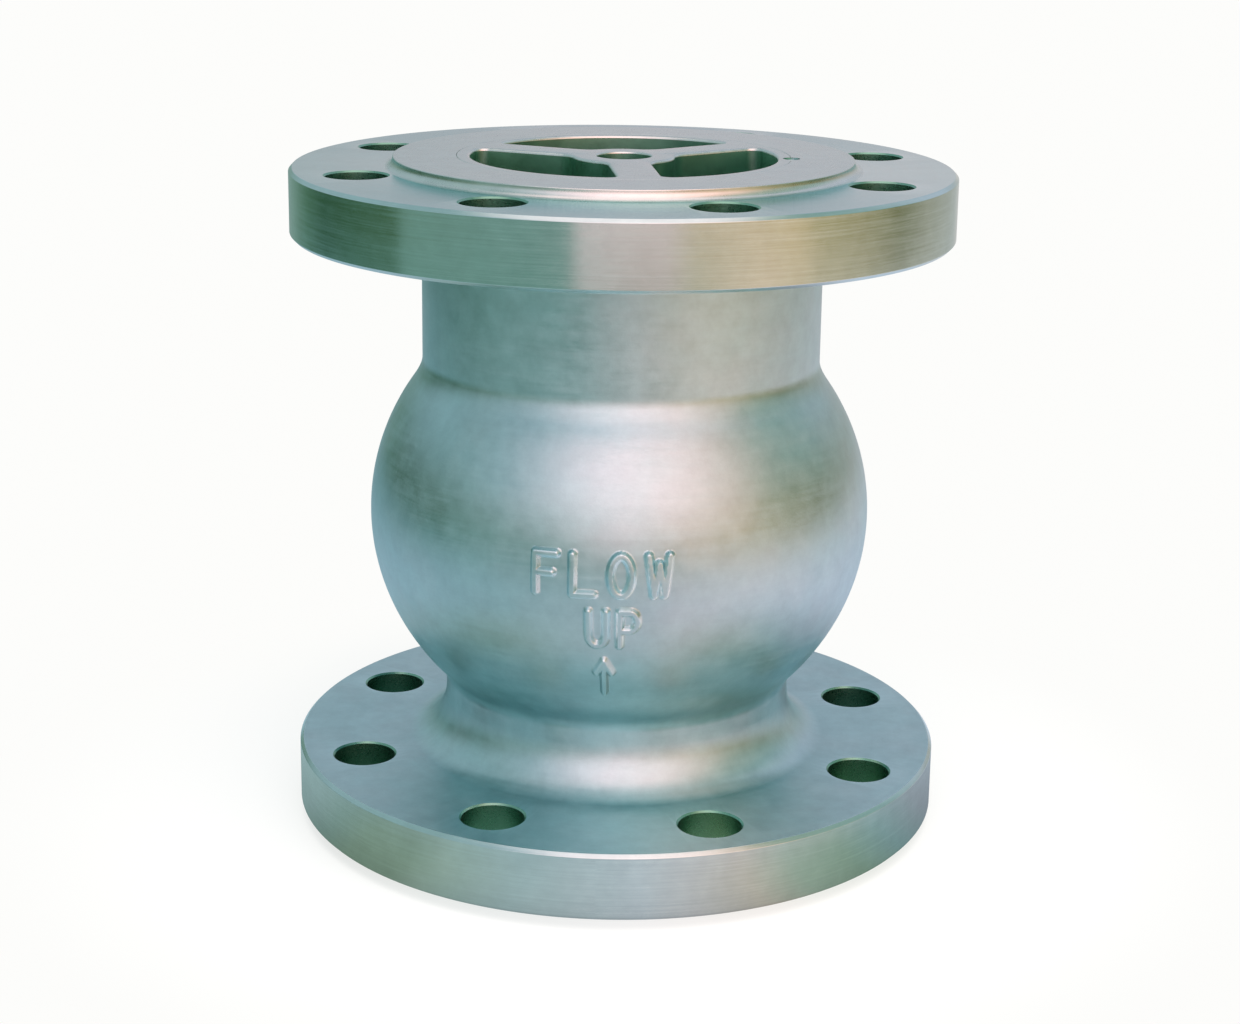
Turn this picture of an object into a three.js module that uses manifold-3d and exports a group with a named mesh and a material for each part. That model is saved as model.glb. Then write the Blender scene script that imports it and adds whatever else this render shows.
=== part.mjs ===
// Flanged vertical-lift check valve (spring-closed, guided from the outlet side), DN80 size.
//
// Millimetres. +Z is up and along the flow. The origin is the centre of the inlet flange's
// raised face, so the valve stands on z = 0 and its outlet face is at z = FACE_TO_FACE.
// Angles round the axis are counted from the front (-Y) towards +X.
import * as THREE from "three";
import { mergeVertices } from "three/addons/utils/BufferGeometryUtils.js";
import Module from "manifold-3d";

const wasm = await Module();
wasm.setup();

// ---------------------------------------------------------------- driving dimensions

const FACE_TO_FACE = 200;
const PORT_RADIUS = 40;
const PORT_CHAMFER = 1;
const LIFT = 20; // full travel of the disc, a quarter of the port's diameter

const flange = {
  radius: 97.5,
  plate: 19.5, // thickness without the raised face
  chamfer: 1,
  faceRadius: 67.5,
  faceHeight: 3,
  boltCircleRadius: 80,
  boltHoleRadius: 9,
  boltCount: 8,
};

// Outside and inside of the globe are ellipses round the same centre.
const globe = { centreZ: 93.5, radius: 75, halfHeight: 70.5, wall: 7.5 };
const outletNeck = { radius: 59.2, boreRadius: 51, fillet: 3 };
const inletNeck = { radius: 52.5, flareWidth: 11.5, flareHeight: 15 }; // flares out to its flange

// The spider screws into the outlet. Its seam is the circle of this radius on the outlet face.
const spider = {
  seamRadius: 49,
  depth: 16,
  windowRadius: 45,
  hubRadius: 15,
  holeRadius: 8,
  spokeWidth: 12.5,
  spokeCount: 3,
  spokeAngle: 9, // degrees from the front, where the first spoke stopped when it was screwed home
  rimFillet: 3,
  hubFillet: 7,
  tubeRadius: 13.2,
  tubeBoreRadius: 10,
  tubeEndZ: 120,
  springShoulderZ: 182,
  hubThickness: 30,
};

const seat = {
  lipZ: 53.5, // plane on which the disc's seal closes
  flangeTopZ: 52,
  flangeBottomZ: 47.5,
  bottomZ: 30.5,
  flangeRadius: 48,
  threadRadius: 45,
  lipInnerRadius: 41,
  lipOuterRadius: 44,
  recessRadius: 48.5,
};

const stem = { radius: 7, threadRadius: 6, topZ: 176, endZ: 33, collarRadius: 10.5 };
const disc = { radius: 46, underZ: 57, hubTopZ: 82, shoulderZ: 72, hubRadius: 13 };
const spring = { meanRadius: 15.75, wireRadius: 1.2, activeTurns: 7, endTurns: 1, endRise: 2.7 };
const springWasher = { innerRadius: 13.5, outerRadius: 18, thickness: 1.5 };

const THREAD_GAP = 0.15; // each side of a screwed seam
const RUNNING_GAP = 0.1; // stem in its bushes, on the radius
const SMALL_GAP = 0.25; // between pieces that only sit near each other

const BODY_SEGMENTS = 48;
const PART_SEGMENTS = 40;
const SMALL_SEGMENTS = 24;

// ---------------------------------------------------------------- materials

const steel = (color, roughness) => new THREE.MeshStandardMaterial({ color, roughness, metalness: 1 });
const castStainless = steel(0xa3b5b6, 0.42);
const turnedStainless = steel(0xb4b9bb, 0.28);
const springSteel = steel(0x9aa0a2, 0.3);
const fastenerSteel = steel(0xa9adad, 0.35);
const bronze = steel(0xb08a4a, 0.4);
const ptfe = new THREE.MeshStandardMaterial({ color: 0xe9e6dc, roughness: 0.5, metalness: 0 });
const gasketFibre = new THREE.MeshStandardMaterial({ color: 0x56605e, roughness: 0.8, metalness: 0 });
const rubber = new THREE.MeshStandardMaterial({ color: 0x1c1d1e, roughness: 0.7, metalness: 0 });

// ---------------------------------------------------------------- geometry helpers

const point = (radius, z) => new THREE.Vector2(radius, z);

// Points of an elliptical arc in a profile, angles in radians from the +radius direction.
function arcPoints(centreRadius, centreZ, radiusAcross, radiusUp, from, to, divisions) {
  return Array.from({ length: divisions + 1 }, (_, i) => {
    const angle = from + ((to - from) * i) / divisions;
    return point(centreRadius + radiusAcross * Math.cos(angle), centreZ + radiusUp * Math.sin(angle));
  });
}

// A closed geometry as a manifold solid.
function toSolid(geometry) {
  const bare = geometry.index ? geometry.toNonIndexed() : geometry.clone();
  bare.deleteAttribute("normal");
  bare.deleteAttribute("uv");
  const merged = mergeVertices(bare, 1e-4);
  const corners = merged.index.array;
  const kept = [];
  for (let i = 0; i < corners.length; i += 3) {
    const [a, b, c] = [corners[i], corners[i + 1], corners[i + 2]];
    if (a !== b && b !== c && c !== a) kept.push(a, b, c);
  }
  return new wasm.Manifold(
    new wasm.Mesh({
      numProp: 3,
      vertProperties: merged.attributes.position.array,
      triVerts: new Uint32Array(kept),
    }),
  );
}

// A manifold solid as a flat-shaded geometry.
function toGeometry(solid) {
  const mesh = solid.getMesh();
  const geometry = new THREE.BufferGeometry();
  geometry.setAttribute("position", new THREE.BufferAttribute(mesh.vertProperties, mesh.numProp));
  geometry.setIndex(new THREE.BufferAttribute(mesh.triVerts, 1));
  const flat = geometry.toNonIndexed();
  flat.computeVertexNormals();
  return flat;
}

// Solid of revolution about Z. A profile that is off the axis is a ring, and closes on itself.
function revolve(profile, segments) {
  const onAxis = profile[0].x === 0;
  const outline = THREE.ShapeUtils.area(profile) < 0 ? [...profile].reverse() : [...profile];
  if (!onAxis) outline.push(outline[0].clone());
  return toSolid(new THREE.LatheGeometry(outline, segments).rotateX(Math.PI / 2));
}

// The same from a profile whose heights are the valve's own, for a piece that hangs at baseZ.
function revolveFrom(baseZ, profile, segments) {
  return revolve(profile.map((p) => point(p.x, p.y - baseZ)), segments);
}

function cylinder(radius, bottomZ, topZ, segments = SMALL_SEGMENTS) {
  const geometry = new THREE.CylinderGeometry(radius, radius, topZ - bottomZ, segments);
  return toSolid(geometry.rotateX(Math.PI / 2).translate(0, 0, (topZ + bottomZ) / 2));
}

function box(sizeX, sizeY, sizeZ, x, y, z) {
  return toSolid(new THREE.BoxGeometry(sizeX, sizeY, sizeZ).translate(x, y, z));
}

function hexagon(acrossFlats, bottomZ, topZ) {
  return cylinder(acrossFlats / Math.sqrt(3), bottomZ, topZ, 6);
}

// Where a point at this radius and angle from the front lies.
const polar = (radius, angle) => [radius * Math.sin(angle), -radius * Math.cos(angle)];

function piece(name, solid, material, z = 0) {
  const mesh = new THREE.Mesh(toGeometry(solid), material);
  mesh.name = name;
  mesh.position.z = z;
  return mesh;
}

// ---------------------------------------------------------------- valve body

const inletBackZ = flange.faceHeight + flange.plate;
const outletBackZ = FACE_TO_FACE - inletBackZ;
const spiderSeatZ = FACE_TO_FACE - spider.depth;

// From the inlet's bore out round the flange, up the outside, and over to the outlet's edge.
function bodyOutside() {
  const { radius, chamfer, faceRadius, faceHeight } = flange;
  const lowerAngle = -Math.acos(inletNeck.radius / globe.radius);
  const upperAngle = Math.acos(outletNeck.radius / globe.radius);
  return [
    point(PORT_RADIUS + PORT_CHAMFER, 0),
    point(faceRadius, 0),
    point(faceRadius, faceHeight),
    point(radius - chamfer, faceHeight),
    point(radius, faceHeight + chamfer),
    point(radius, inletBackZ - chamfer),
    point(radius - chamfer, inletBackZ),
    ...arcPoints(
      inletNeck.radius + inletNeck.flareWidth,
      inletBackZ + inletNeck.flareHeight,
      inletNeck.flareWidth,
      inletNeck.flareHeight,
      -Math.PI / 2,
      -Math.PI,
      5,
    ),
    ...arcPoints(0, globe.centreZ, globe.radius, globe.halfHeight, lowerAngle, upperAngle, 10),
    ...arcPoints(
      outletNeck.radius + outletNeck.fillet,
      outletBackZ - outletNeck.fillet,
      outletNeck.fillet,
      outletNeck.fillet,
      Math.PI,
      Math.PI / 2,
      3,
    ),
    point(radius - chamfer, outletBackZ),
    point(radius, outletBackZ + chamfer),
    point(radius, FACE_TO_FACE - faceHeight - chamfer),
    point(radius - chamfer, FACE_TO_FACE - faceHeight),
    point(faceRadius, FACE_TO_FACE - faceHeight),
    point(faceRadius, FACE_TO_FACE),
  ];
}

// From the outlet's threaded mouth down through the globe and the seat pocket to the inlet.
function bodyInside() {
  const radius = globe.radius - globe.wall;
  const halfHeight = globe.halfHeight - globe.wall;
  const upperAngle = Math.acos(outletNeck.boreRadius / radius);
  const lowerAngle = -Math.acos(seat.recessRadius / radius);
  const mouthRadius = spider.seamRadius + THREAD_GAP;
  const throatRadius = disc.radius + 1.2; // the disc goes in and out through here
  const ledgeZ = seat.flangeBottomZ - 1.5; // one gasket's thickness under the seat ring's flange
  return [
    point(mouthRadius, FACE_TO_FACE),
    point(mouthRadius, spiderSeatZ),
    point(throatRadius, spiderSeatZ),
    point(throatRadius, spiderSeatZ - 6),
    point(outletNeck.boreRadius, spiderSeatZ - 12),
    ...arcPoints(0, globe.centreZ, radius, halfHeight, upperAngle, lowerAngle, 6),
    point(seat.recessRadius, ledgeZ),
    point(seat.threadRadius + THREAD_GAP, ledgeZ),
    point(seat.threadRadius + THREAD_GAP, seat.bottomZ - 0.5),
    point(PORT_RADIUS, seat.bottomZ - 0.5),
    point(PORT_RADIUS, PORT_CHAMFER),
  ];
}

// Both flanges' bolt holes straddle the valve's front and side centrelines.
function boltHoles() {
  const holes = [];
  for (let i = 0; i < flange.boltCount; i++) {
    const angle = ((i + 0.5) * 2 * Math.PI) / flange.boltCount;
    const [x, y] = polar(flange.boltCircleRadius, angle);
    holes.push(cylinder(flange.boltHoleRadius, 0, inletBackZ + 1, 16).translate([x, y, 0]));
    holes.push(cylinder(flange.boltHoleRadius, outletBackZ - 1, FACE_TO_FACE, 16).translate([x, y, 0]));
  }
  return wasm.Manifold.union(holes);
}

// Tapped holes on the seams of the two screwed-in parts, half in each side.
const spiderLock = { radius: 2.25, topZ: FACE_TO_FACE - 0.5, length: 8, angle: Math.PI / 2 };
const seatLock = { radius: 1.75, topZ: seat.flangeTopZ - 0.5, length: 3.5, angles: [0, Math.PI] };

function spiderLockHole() {
  const { radius, topZ, length, angle } = spiderLock;
  const [x, y] = polar(spider.seamRadius, angle);
  return cylinder(radius + SMALL_GAP, topZ - length - SMALL_GAP, FACE_TO_FACE + 1).translate([x, y, 0]);
}

function seatLockHoles() {
  const { radius, topZ, length, angles } = seatLock;
  const holes = angles.map((angle) => {
    const [x, y] = polar(seat.flangeRadius, angle);
    const hole = cylinder(radius + SMALL_GAP, topZ - length, seat.lipZ + 1, 16);
    return hole.translate([x, y, 0]);
  });
  return wasm.Manifold.union(holes);
}

function valveBody() {
  return revolve([...bodyOutside(), ...bodyInside()], BODY_SEGMENTS)
    .subtract(boltHoles())
    .subtract(spiderLockHole())
    .subtract(seatLockHoles());
}

// ---------------------------------------------------------------- outlet guide spider

// One window between two spokes, centred on +Y. Its straight sides run along the spokes, and a
// fillet joins each of them to the rim's arc and to the hub's arc.
function windowShape() {
  const halfAngle = Math.PI / spider.spokeCount;
  const along = new THREE.Vector2(Math.sin(halfAngle), Math.cos(halfAngle));
  const inward = new THREE.Vector2(-along.y, along.x);
  const filletCentre = (distance, fillet) => {
    const offset = spider.spokeWidth / 2 + fillet;
    const reach = Math.sqrt(distance ** 2 - offset ** 2);
    return along.clone().multiplyScalar(reach).addScaledVector(inward, offset);
  };
  const outer = filletCentre(spider.windowRadius - spider.rimFillet, spider.rimFillet);
  const inner = filletCentre(spider.hubRadius + spider.hubFillet, spider.hubFillet);
  const sideways = inward.angle() - Math.PI; // from a fillet's centre straight to the spoke's side
  const rimAngle = outer.angle();
  const hubAngle = inner.angle();
  const shape = new THREE.Shape();
  shape.absarc(0, 0, spider.windowRadius, rimAngle, Math.PI - rimAngle, false);
  shape.absarc(-outer.x, outer.y, spider.rimFillet, Math.PI - rimAngle, Math.PI - sideways, false);
  shape.absarc(-inner.x, inner.y, spider.hubFillet, Math.PI - sideways, -hubAngle, false);
  shape.absarc(0, 0, spider.hubRadius, Math.PI - hubAngle, hubAngle, true);
  shape.absarc(inner.x, inner.y, spider.hubFillet, Math.PI + hubAngle, 2 * Math.PI + sideways, false);
  shape.absarc(outer.x, outer.y, spider.rimFillet, sideways, rimAngle, false);
  return shape;
}

function spiderWindows() {
  const options = { depth: 2 * spider.depth, bevelEnabled: false, curveSegments: 4 };
  const bottomZ = -spider.depth;
  const one = toSolid(new THREE.ExtrudeGeometry(windowShape(), options).translate(0, 0, bottomZ));
  const pitch = 360 / spider.spokeCount;
  const windows = [];
  for (let i = 0; i < spider.spokeCount; i++) {
    windows.push(one.rotate([0, 0, 180 + spider.spokeAngle + (i + 0.5) * pitch]));
  }
  return wasm.Manifold.union(windows);
}

// The spider's own z = 0 is its seating face on the body's shoulder. Its spokes get thicker
// towards the hub, down to the flat that the spring's upper washer rests on.
function guideSpider() {
  const { seamRadius, holeRadius, hubThickness, windowRadius, tubeRadius, tubeBoreRadius, tubeEndZ } = spider;
  const snapGroove = { radius: 10.75, bottomZ: tubeEndZ + 1.5, topZ: tubeEndZ + 3.25 };
  const endChamfer = 0.75;
  const profile = [
    point(seamRadius - THREAD_GAP, spiderSeatZ),
    point(seamRadius - THREAD_GAP, FACE_TO_FACE),
    point(holeRadius, FACE_TO_FACE),
    point(holeRadius, FACE_TO_FACE - hubThickness),
    point(tubeBoreRadius, FACE_TO_FACE - hubThickness),
    point(tubeBoreRadius, snapGroove.topZ),
    point(snapGroove.radius, snapGroove.topZ),
    point(snapGroove.radius, snapGroove.bottomZ),
    point(tubeBoreRadius, snapGroove.bottomZ),
    point(tubeBoreRadius, tubeEndZ),
    point(tubeRadius - endChamfer, tubeEndZ),
    point(tubeRadius, tubeEndZ + endChamfer),
    point(tubeRadius, spider.springShoulderZ),
    point(springWasher.outerRadius, spider.springShoulderZ),
    point(windowRadius, spiderSeatZ + 2),
    point(windowRadius + 1, spiderSeatZ),
  ];
  return revolveFrom(spiderSeatZ, profile, BODY_SEGMENTS)
    .subtract(spiderWindows())
    .subtract(spiderLockHole().translate([0, 0, -spiderSeatZ]));
}

// A bush's own z = 0 is its lower end. The upper one is pressed in against the tube's shoulder,
// and the lower one sits over its snap ring.
const BUSH_LENGTH = 16;
const upperBushZ = FACE_TO_FACE - spider.hubThickness - BUSH_LENGTH;
const lowerBushZ = spider.tubeEndZ + 3.5;

function guideBush() {
  const outside = spider.tubeBoreRadius - 0.05;
  const inside = stem.radius + RUNNING_GAP;
  const lead = 0.75;
  const profile = [
    point(inside, 0),
    point(outside - lead, 0),
    point(outside, lead),
    point(outside, BUSH_LENGTH - lead),
    point(outside - lead, BUSH_LENGTH),
    point(inside, BUSH_LENGTH),
  ];
  return revolve(profile, SMALL_SEGMENTS);
}

class ArcCurve extends THREE.Curve {
  constructor(radius, from, to) {
    super();
    Object.assign(this, { radius, from, to });
  }
  getPoint(t, target = new THREE.Vector3()) {
    const [x, y] = polar(this.radius, this.from + (this.to - this.from) * t);
    return target.set(x, y, 0);
  }
}

// A tube of round section along a curve, with flat ends.
function tube(curve, radius, steps, sides) {
  const section = new THREE.Shape();
  for (let i = 0; i < sides; i++) {
    const angle = (i * 2 * Math.PI) / sides;
    const corner = [radius * Math.cos(angle), radius * Math.sin(angle)];
    if (i === 0) section.moveTo(...corner);
    else section.lineTo(...corner);
  }
  return toSolid(new THREE.ExtrudeGeometry(section, { extrudePath: curve, steps }));
}

// Round-wire ring, open at the back, that holds the lower bush in the guide tube.
const snapRing = { wireRadius: 0.75, radius: 9.75, opening: 0.4 };

function bushSnapRing() {
  const { radius, wireRadius, opening } = snapRing;
  const arc = new ArcCurve(radius, opening - Math.PI, Math.PI - opening);
  return tube(arc, wireRadius, 24, 6);
}

// ---------------------------------------------------------------- seat

// The seat ring's own z = 0 is its lower end.
function seatRing() {
  const profile = [
    point(PORT_RADIUS + PORT_CHAMFER, seat.bottomZ),
    point(seat.threadRadius - 1, seat.bottomZ),
    point(seat.threadRadius, seat.bottomZ + 1),
    point(seat.threadRadius, seat.flangeBottomZ),
    point(seat.flangeRadius, seat.flangeBottomZ),
    point(seat.flangeRadius, seat.flangeTopZ),
    point(seat.lipOuterRadius, seat.flangeTopZ),
    point(seat.lipOuterRadius, seat.lipZ),
    point(seat.lipInnerRadius, seat.lipZ),
    point(PORT_RADIUS, seat.flangeTopZ - PORT_CHAMFER),
    point(PORT_RADIUS, seat.bottomZ + PORT_CHAMFER),
  ];
  let ring = revolveFrom(seat.bottomZ, profile, BODY_SEGMENTS);
  const notch = { width: 7, depth: 2.5, length: 5 };
  const notchZ = seat.flangeTopZ - seat.bottomZ - notch.depth / 2;
  const notchRadius = seat.lipOuterRadius + 0.5 + notch.length / 2;
  for (const quarter of [45, 135, 225, 315]) {
    const cut = box(notch.length, notch.width, notch.depth, notchRadius, 0, notchZ);
    ring = ring.subtract(cut.rotate([0, 0, quarter]));
  }
  return ring.subtract(seatLockHoles().translate([0, 0, -seat.bottomZ]));
}

function seatGasket() {
  const inside = seat.threadRadius + 0.5;
  const outside = seat.recessRadius - SMALL_GAP;
  return revolve(
    [point(inside, 0), point(outside, 0), point(outside, 1.5), point(inside, 1.5)],
    PART_SEGMENTS,
  );
}

// Grub screw with a hexagon socket. Its own z = 0 is its lower end.
function grubScrew(radius, length, socket) {
  const profile = [
    point(0, 0),
    point(radius - 0.5, 0),
    point(radius, 0.5),
    point(radius, length - 0.25),
    point(radius - 0.25, length),
    point(0, length),
  ];
  return revolve(profile, 16).subtract(hexagon(socket, length / 2, length + 1));
}

function placedGrubScrew(name, lock, seamRadius, angle, socket) {
  const screw = piece(name, grubScrew(lock.radius, lock.length - SMALL_GAP, socket), fastenerSteel);
  const [x, y] = polar(seamRadius, angle);
  screw.position.set(x, y, lock.topZ - lock.length + SMALL_GAP);
  return screw;
}

// ---------------------------------------------------------------- disc and its stem

// Heights inside the disc assembly are counted from the sealing plane.
const fromSeat = (z) => z - seat.lipZ;
const seal = { innerRadius: 36, stepRadius: 40.5, outerRadius: 44.75, heelZ: 54.5 };
const retainer = { radius: 38.75, bottomZ: 51 };
const nut = { topZ: 49, flangeZ: 41, bottomZ: 36, acrossFlats: 18, crownRadius: 8.25, slot: 3.6 };
const pinZ = 38.5;
const boreRadius = stem.threadRadius + SMALL_GAP;
const ringGroove = { radius: 8.75, bottomZ: disc.hubTopZ - 2.5 };

function valveDisc() {
  const profile = [
    point(boreRadius, disc.underZ),
    point(seal.outerRadius + 0.15, disc.underZ),
    point(seal.outerRadius + 0.15, disc.underZ - 2.25),
    point(disc.radius, disc.underZ - 2.25),
    point(disc.radius, disc.underZ + 5),
    point(disc.radius - 2.5, disc.underZ + 7.5),
    point(springWasher.outerRadius + 1, disc.shoulderZ),
    point(disc.hubRadius, disc.shoulderZ),
    point(disc.hubRadius, disc.hubTopZ - 1),
    point(disc.hubRadius - 1, disc.hubTopZ),
    point(ringGroove.radius, disc.hubTopZ),
    point(ringGroove.radius, ringGroove.bottomZ),
    point(boreRadius, ringGroove.bottomZ),
  ];
  return revolveFrom(seat.lipZ, profile, PART_SEGMENTS);
}

function discSealRing() {
  const profile = [
    point(seal.innerRadius, seal.heelZ + 0.25),
    point(seal.stepRadius, seal.heelZ + 0.25),
    point(seal.stepRadius, seat.lipZ),
    point(seal.outerRadius, seat.lipZ),
    point(seal.outerRadius, disc.underZ),
    point(seal.innerRadius, disc.underZ),
  ];
  return revolveFrom(seat.lipZ, profile, PART_SEGMENTS);
}

function sealRetainer() {
  const spigot = seal.innerRadius - SMALL_GAP;
  const profile = [
    point(boreRadius, retainer.bottomZ),
    point(retainer.radius - 1.5, retainer.bottomZ),
    point(retainer.radius, retainer.bottomZ + 1.5),
    point(retainer.radius, seal.heelZ),
    point(spigot, seal.heelZ),
    point(spigot, disc.underZ),
    point(boreRadius, disc.underZ),
  ];
  return revolveFrom(seat.lipZ, profile, PART_SEGMENTS);
}

// The collar meets the end of the guide tube at full lift and has two wrench flats.
function valveStem() {
  const collarTopZ = spider.tubeEndZ - LIFT - SMALL_GAP;
  const profile = [
    point(0, stem.endZ),
    point(stem.threadRadius - 1, stem.endZ),
    point(stem.threadRadius, stem.endZ + 1),
    point(stem.threadRadius, disc.hubTopZ),
    point(stem.collarRadius, disc.hubTopZ),
    point(stem.collarRadius, collarTopZ - 1),
    point(stem.collarRadius - 1, collarTopZ),
    point(stem.radius, collarTopZ),
    point(stem.radius, stem.topZ - 1.5),
    point(stem.radius - 1.5, stem.topZ),
    point(0, stem.topZ),
  ];
  const flats = { across: 17, bottomZ: disc.hubTopZ + 3, height: 10 };
  const slab = 6;
  const flatCentre = flats.across / 2 + slab / 2;
  const flatZ = fromSeat(flats.bottomZ) + flats.height / 2;
  const pinHole = cylinder(1.75, -10, 10, 12).rotate([0, 90, 0]).translate([0, 0, fromSeat(pinZ)]);
  return revolveFrom(seat.lipZ, profile, SMALL_SEGMENTS)
    .subtract(box(30, slab, flats.height, 0, flatCentre, flatZ))
    .subtract(box(30, slab, flats.height, 0, -flatCentre, flatZ))
    .subtract(pinHole);
}

function stemSealRing() {
  const wire = 1.15;
  const centre = boreRadius + wire;
  const centreZ = fromSeat(ringGroove.bottomZ) + wire + 0.05;
  return revolve(arcPoints(centre, centreZ, wire, wire, 0, (2 * Math.PI * 9) / 10, 9), SMALL_SEGMENTS);
}

function retainerWasher() {
  const profile = [
    point(boreRadius, nut.topZ),
    point(12, nut.topZ),
    point(12, retainer.bottomZ),
    point(boreRadius, retainer.bottomZ),
  ];
  return revolveFrom(seat.lipZ, profile, SMALL_SEGMENTS);
}

// Slotted nut with its crown downwards, so that a pin through the stem locks it.
function castleNut() {
  let body = hexagon(nut.acrossFlats, fromSeat(nut.flangeZ), fromSeat(nut.topZ))
    .add(cylinder(nut.crownRadius, fromSeat(nut.bottomZ), fromSeat(nut.flangeZ) + 0.5))
    .subtract(cylinder(boreRadius, fromSeat(nut.bottomZ) - 1, fromSeat(nut.topZ) + 1));
  const slotHeight = nut.flangeZ - nut.bottomZ;
  for (const turn of [0, 60, 120]) {
    const slot = box(40, nut.slot, slotHeight, 0, 0, fromSeat(nut.bottomZ) + slotHeight / 2 - 0.5);
    body = body.subtract(slot.rotate([0, 0, turn]));
  }
  return body;
}

// Split pin through the stem along X: an eye at one end and two legs bent apart at the other.
function splitPin() {
  const wire = 1.25;
  const reach = nut.crownRadius + 1.75;
  const leg = 4.5;
  const shank = cylinder(wire, -reach, reach, 12).rotate([0, 90, 0]);
  const eye = toSolid(new THREE.TorusGeometry(1.9, 0.85, 6, 12).rotateX(Math.PI / 2));
  const legs = [-1, 1].map((side) =>
    cylinder(0.8, 0, leg, 8)
      .rotate([side * 90, 0, 0])
      .translate([0.6 - reach, 0, 0]),
  );
  return shank
    .add(eye.translate([reach + 1.5, 0, 0]))
    .add(legs[0])
    .add(legs[1])
    .translate([0, 0, fromSeat(pinZ)]);
}

// ---------------------------------------------------------------- spring

const lowerWasherZ = disc.shoulderZ;
const upperWasherZ = spider.springShoulderZ - springWasher.thickness;
const springBottomZ = lowerWasherZ + springWasher.thickness;

function springWasherRing() {
  const { innerRadius, outerRadius, thickness } = springWasher;
  const profile = [
    point(innerRadius, 0),
    point(outerRadius, 0),
    point(outerRadius, thickness),
    point(innerRadius, thickness),
  ];
  return revolve(profile, SMALL_SEGMENTS);
}

// Compression spring with one closed turn at each end. Its own z = 0 is its lower end.
class SpringCurve extends THREE.Curve {
  constructor(height) {
    super();
    this.turns = spring.activeTurns + 2 * spring.endTurns;
    this.bottom = spring.wireRadius + SMALL_GAP;
    this.activeRise = height - 2 * this.bottom - 2 * spring.endTurns * spring.endRise;
  }
  getPoint(t, target = new THREE.Vector3()) {
    const turn = t * this.turns;
    const lowEnd = Math.min(turn, spring.endTurns);
    const highEnd = Math.max(turn - spring.endTurns - spring.activeTurns, 0);
    const ends = lowEnd + highEnd;
    const active = (turn - ends) / spring.activeTurns;
    const [x, y] = polar(spring.meanRadius, turn * 2 * Math.PI);
    return target.set(x, y, this.bottom + ends * spring.endRise + active * this.activeRise);
  }
}

function coilSpring() {
  const curve = new SpringCurve(upperWasherZ - springBottomZ);
  return tube(curve, spring.wireRadius, 12 * curve.turns, 6);
}

// ---------------------------------------------------------------- assembly

const housing = new THREE.Group();
housing.add(
  piece("valve_body", valveBody(), castStainless),
  piece("guide_spider", guideSpider(), turnedStainless, spiderSeatZ),
  placedGrubScrew("spider_lock_screw", spiderLock, spider.seamRadius, spiderLock.angle, 2.5),
  piece("upper_guide_bush", guideBush(), bronze, upperBushZ),
  piece("lower_guide_bush", guideBush(), bronze, lowerBushZ),
  piece("bush_snap_ring", bushSnapRing(), springSteel, spider.tubeEndZ + 2.375),
  piece("seat_ring", seatRing(), turnedStainless, seat.bottomZ),
  piece("seat_gasket", seatGasket(), gasketFibre, seat.flangeBottomZ - 1.5),
  placedGrubScrew("seat_lock_screw_front", seatLock, seat.flangeRadius, seatLock.angles[0], 1.5),
  placedGrubScrew("seat_lock_screw_back", seatLock, seat.flangeRadius, seatLock.angles[1], 1.5),
);

const springPack = new THREE.Group();
springPack.add(
  piece("closing_spring", coilSpring(), springSteel, springBottomZ),
  piece("upper_spring_washer", springWasherRing(), turnedStainless, upperWasherZ),
  piece("lower_spring_washer", springWasherRing(), turnedStainless, lowerWasherZ),
);

const discAssembly = new THREE.Group();
discAssembly.position.z = seat.lipZ;
discAssembly.add(
  piece("valve_disc", valveDisc(), turnedStainless),
  piece("disc_seal_ring", discSealRing(), ptfe),
  piece("seal_retainer", sealRetainer(), turnedStainless),
  piece("stem", valveStem(), turnedStainless),
  piece("stem_seal_ring", stemSealRing(), rubber),
  piece("retainer_washer", retainerWasher(), fastenerSteel),
  piece("castle_nut", castleNut(), fastenerSteel),
  piece("split_pin", splitPin(), fastenerSteel),
);

const valve = new THREE.Group();
valve.add(housing, springPack, discAssembly);

export default valve;
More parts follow.
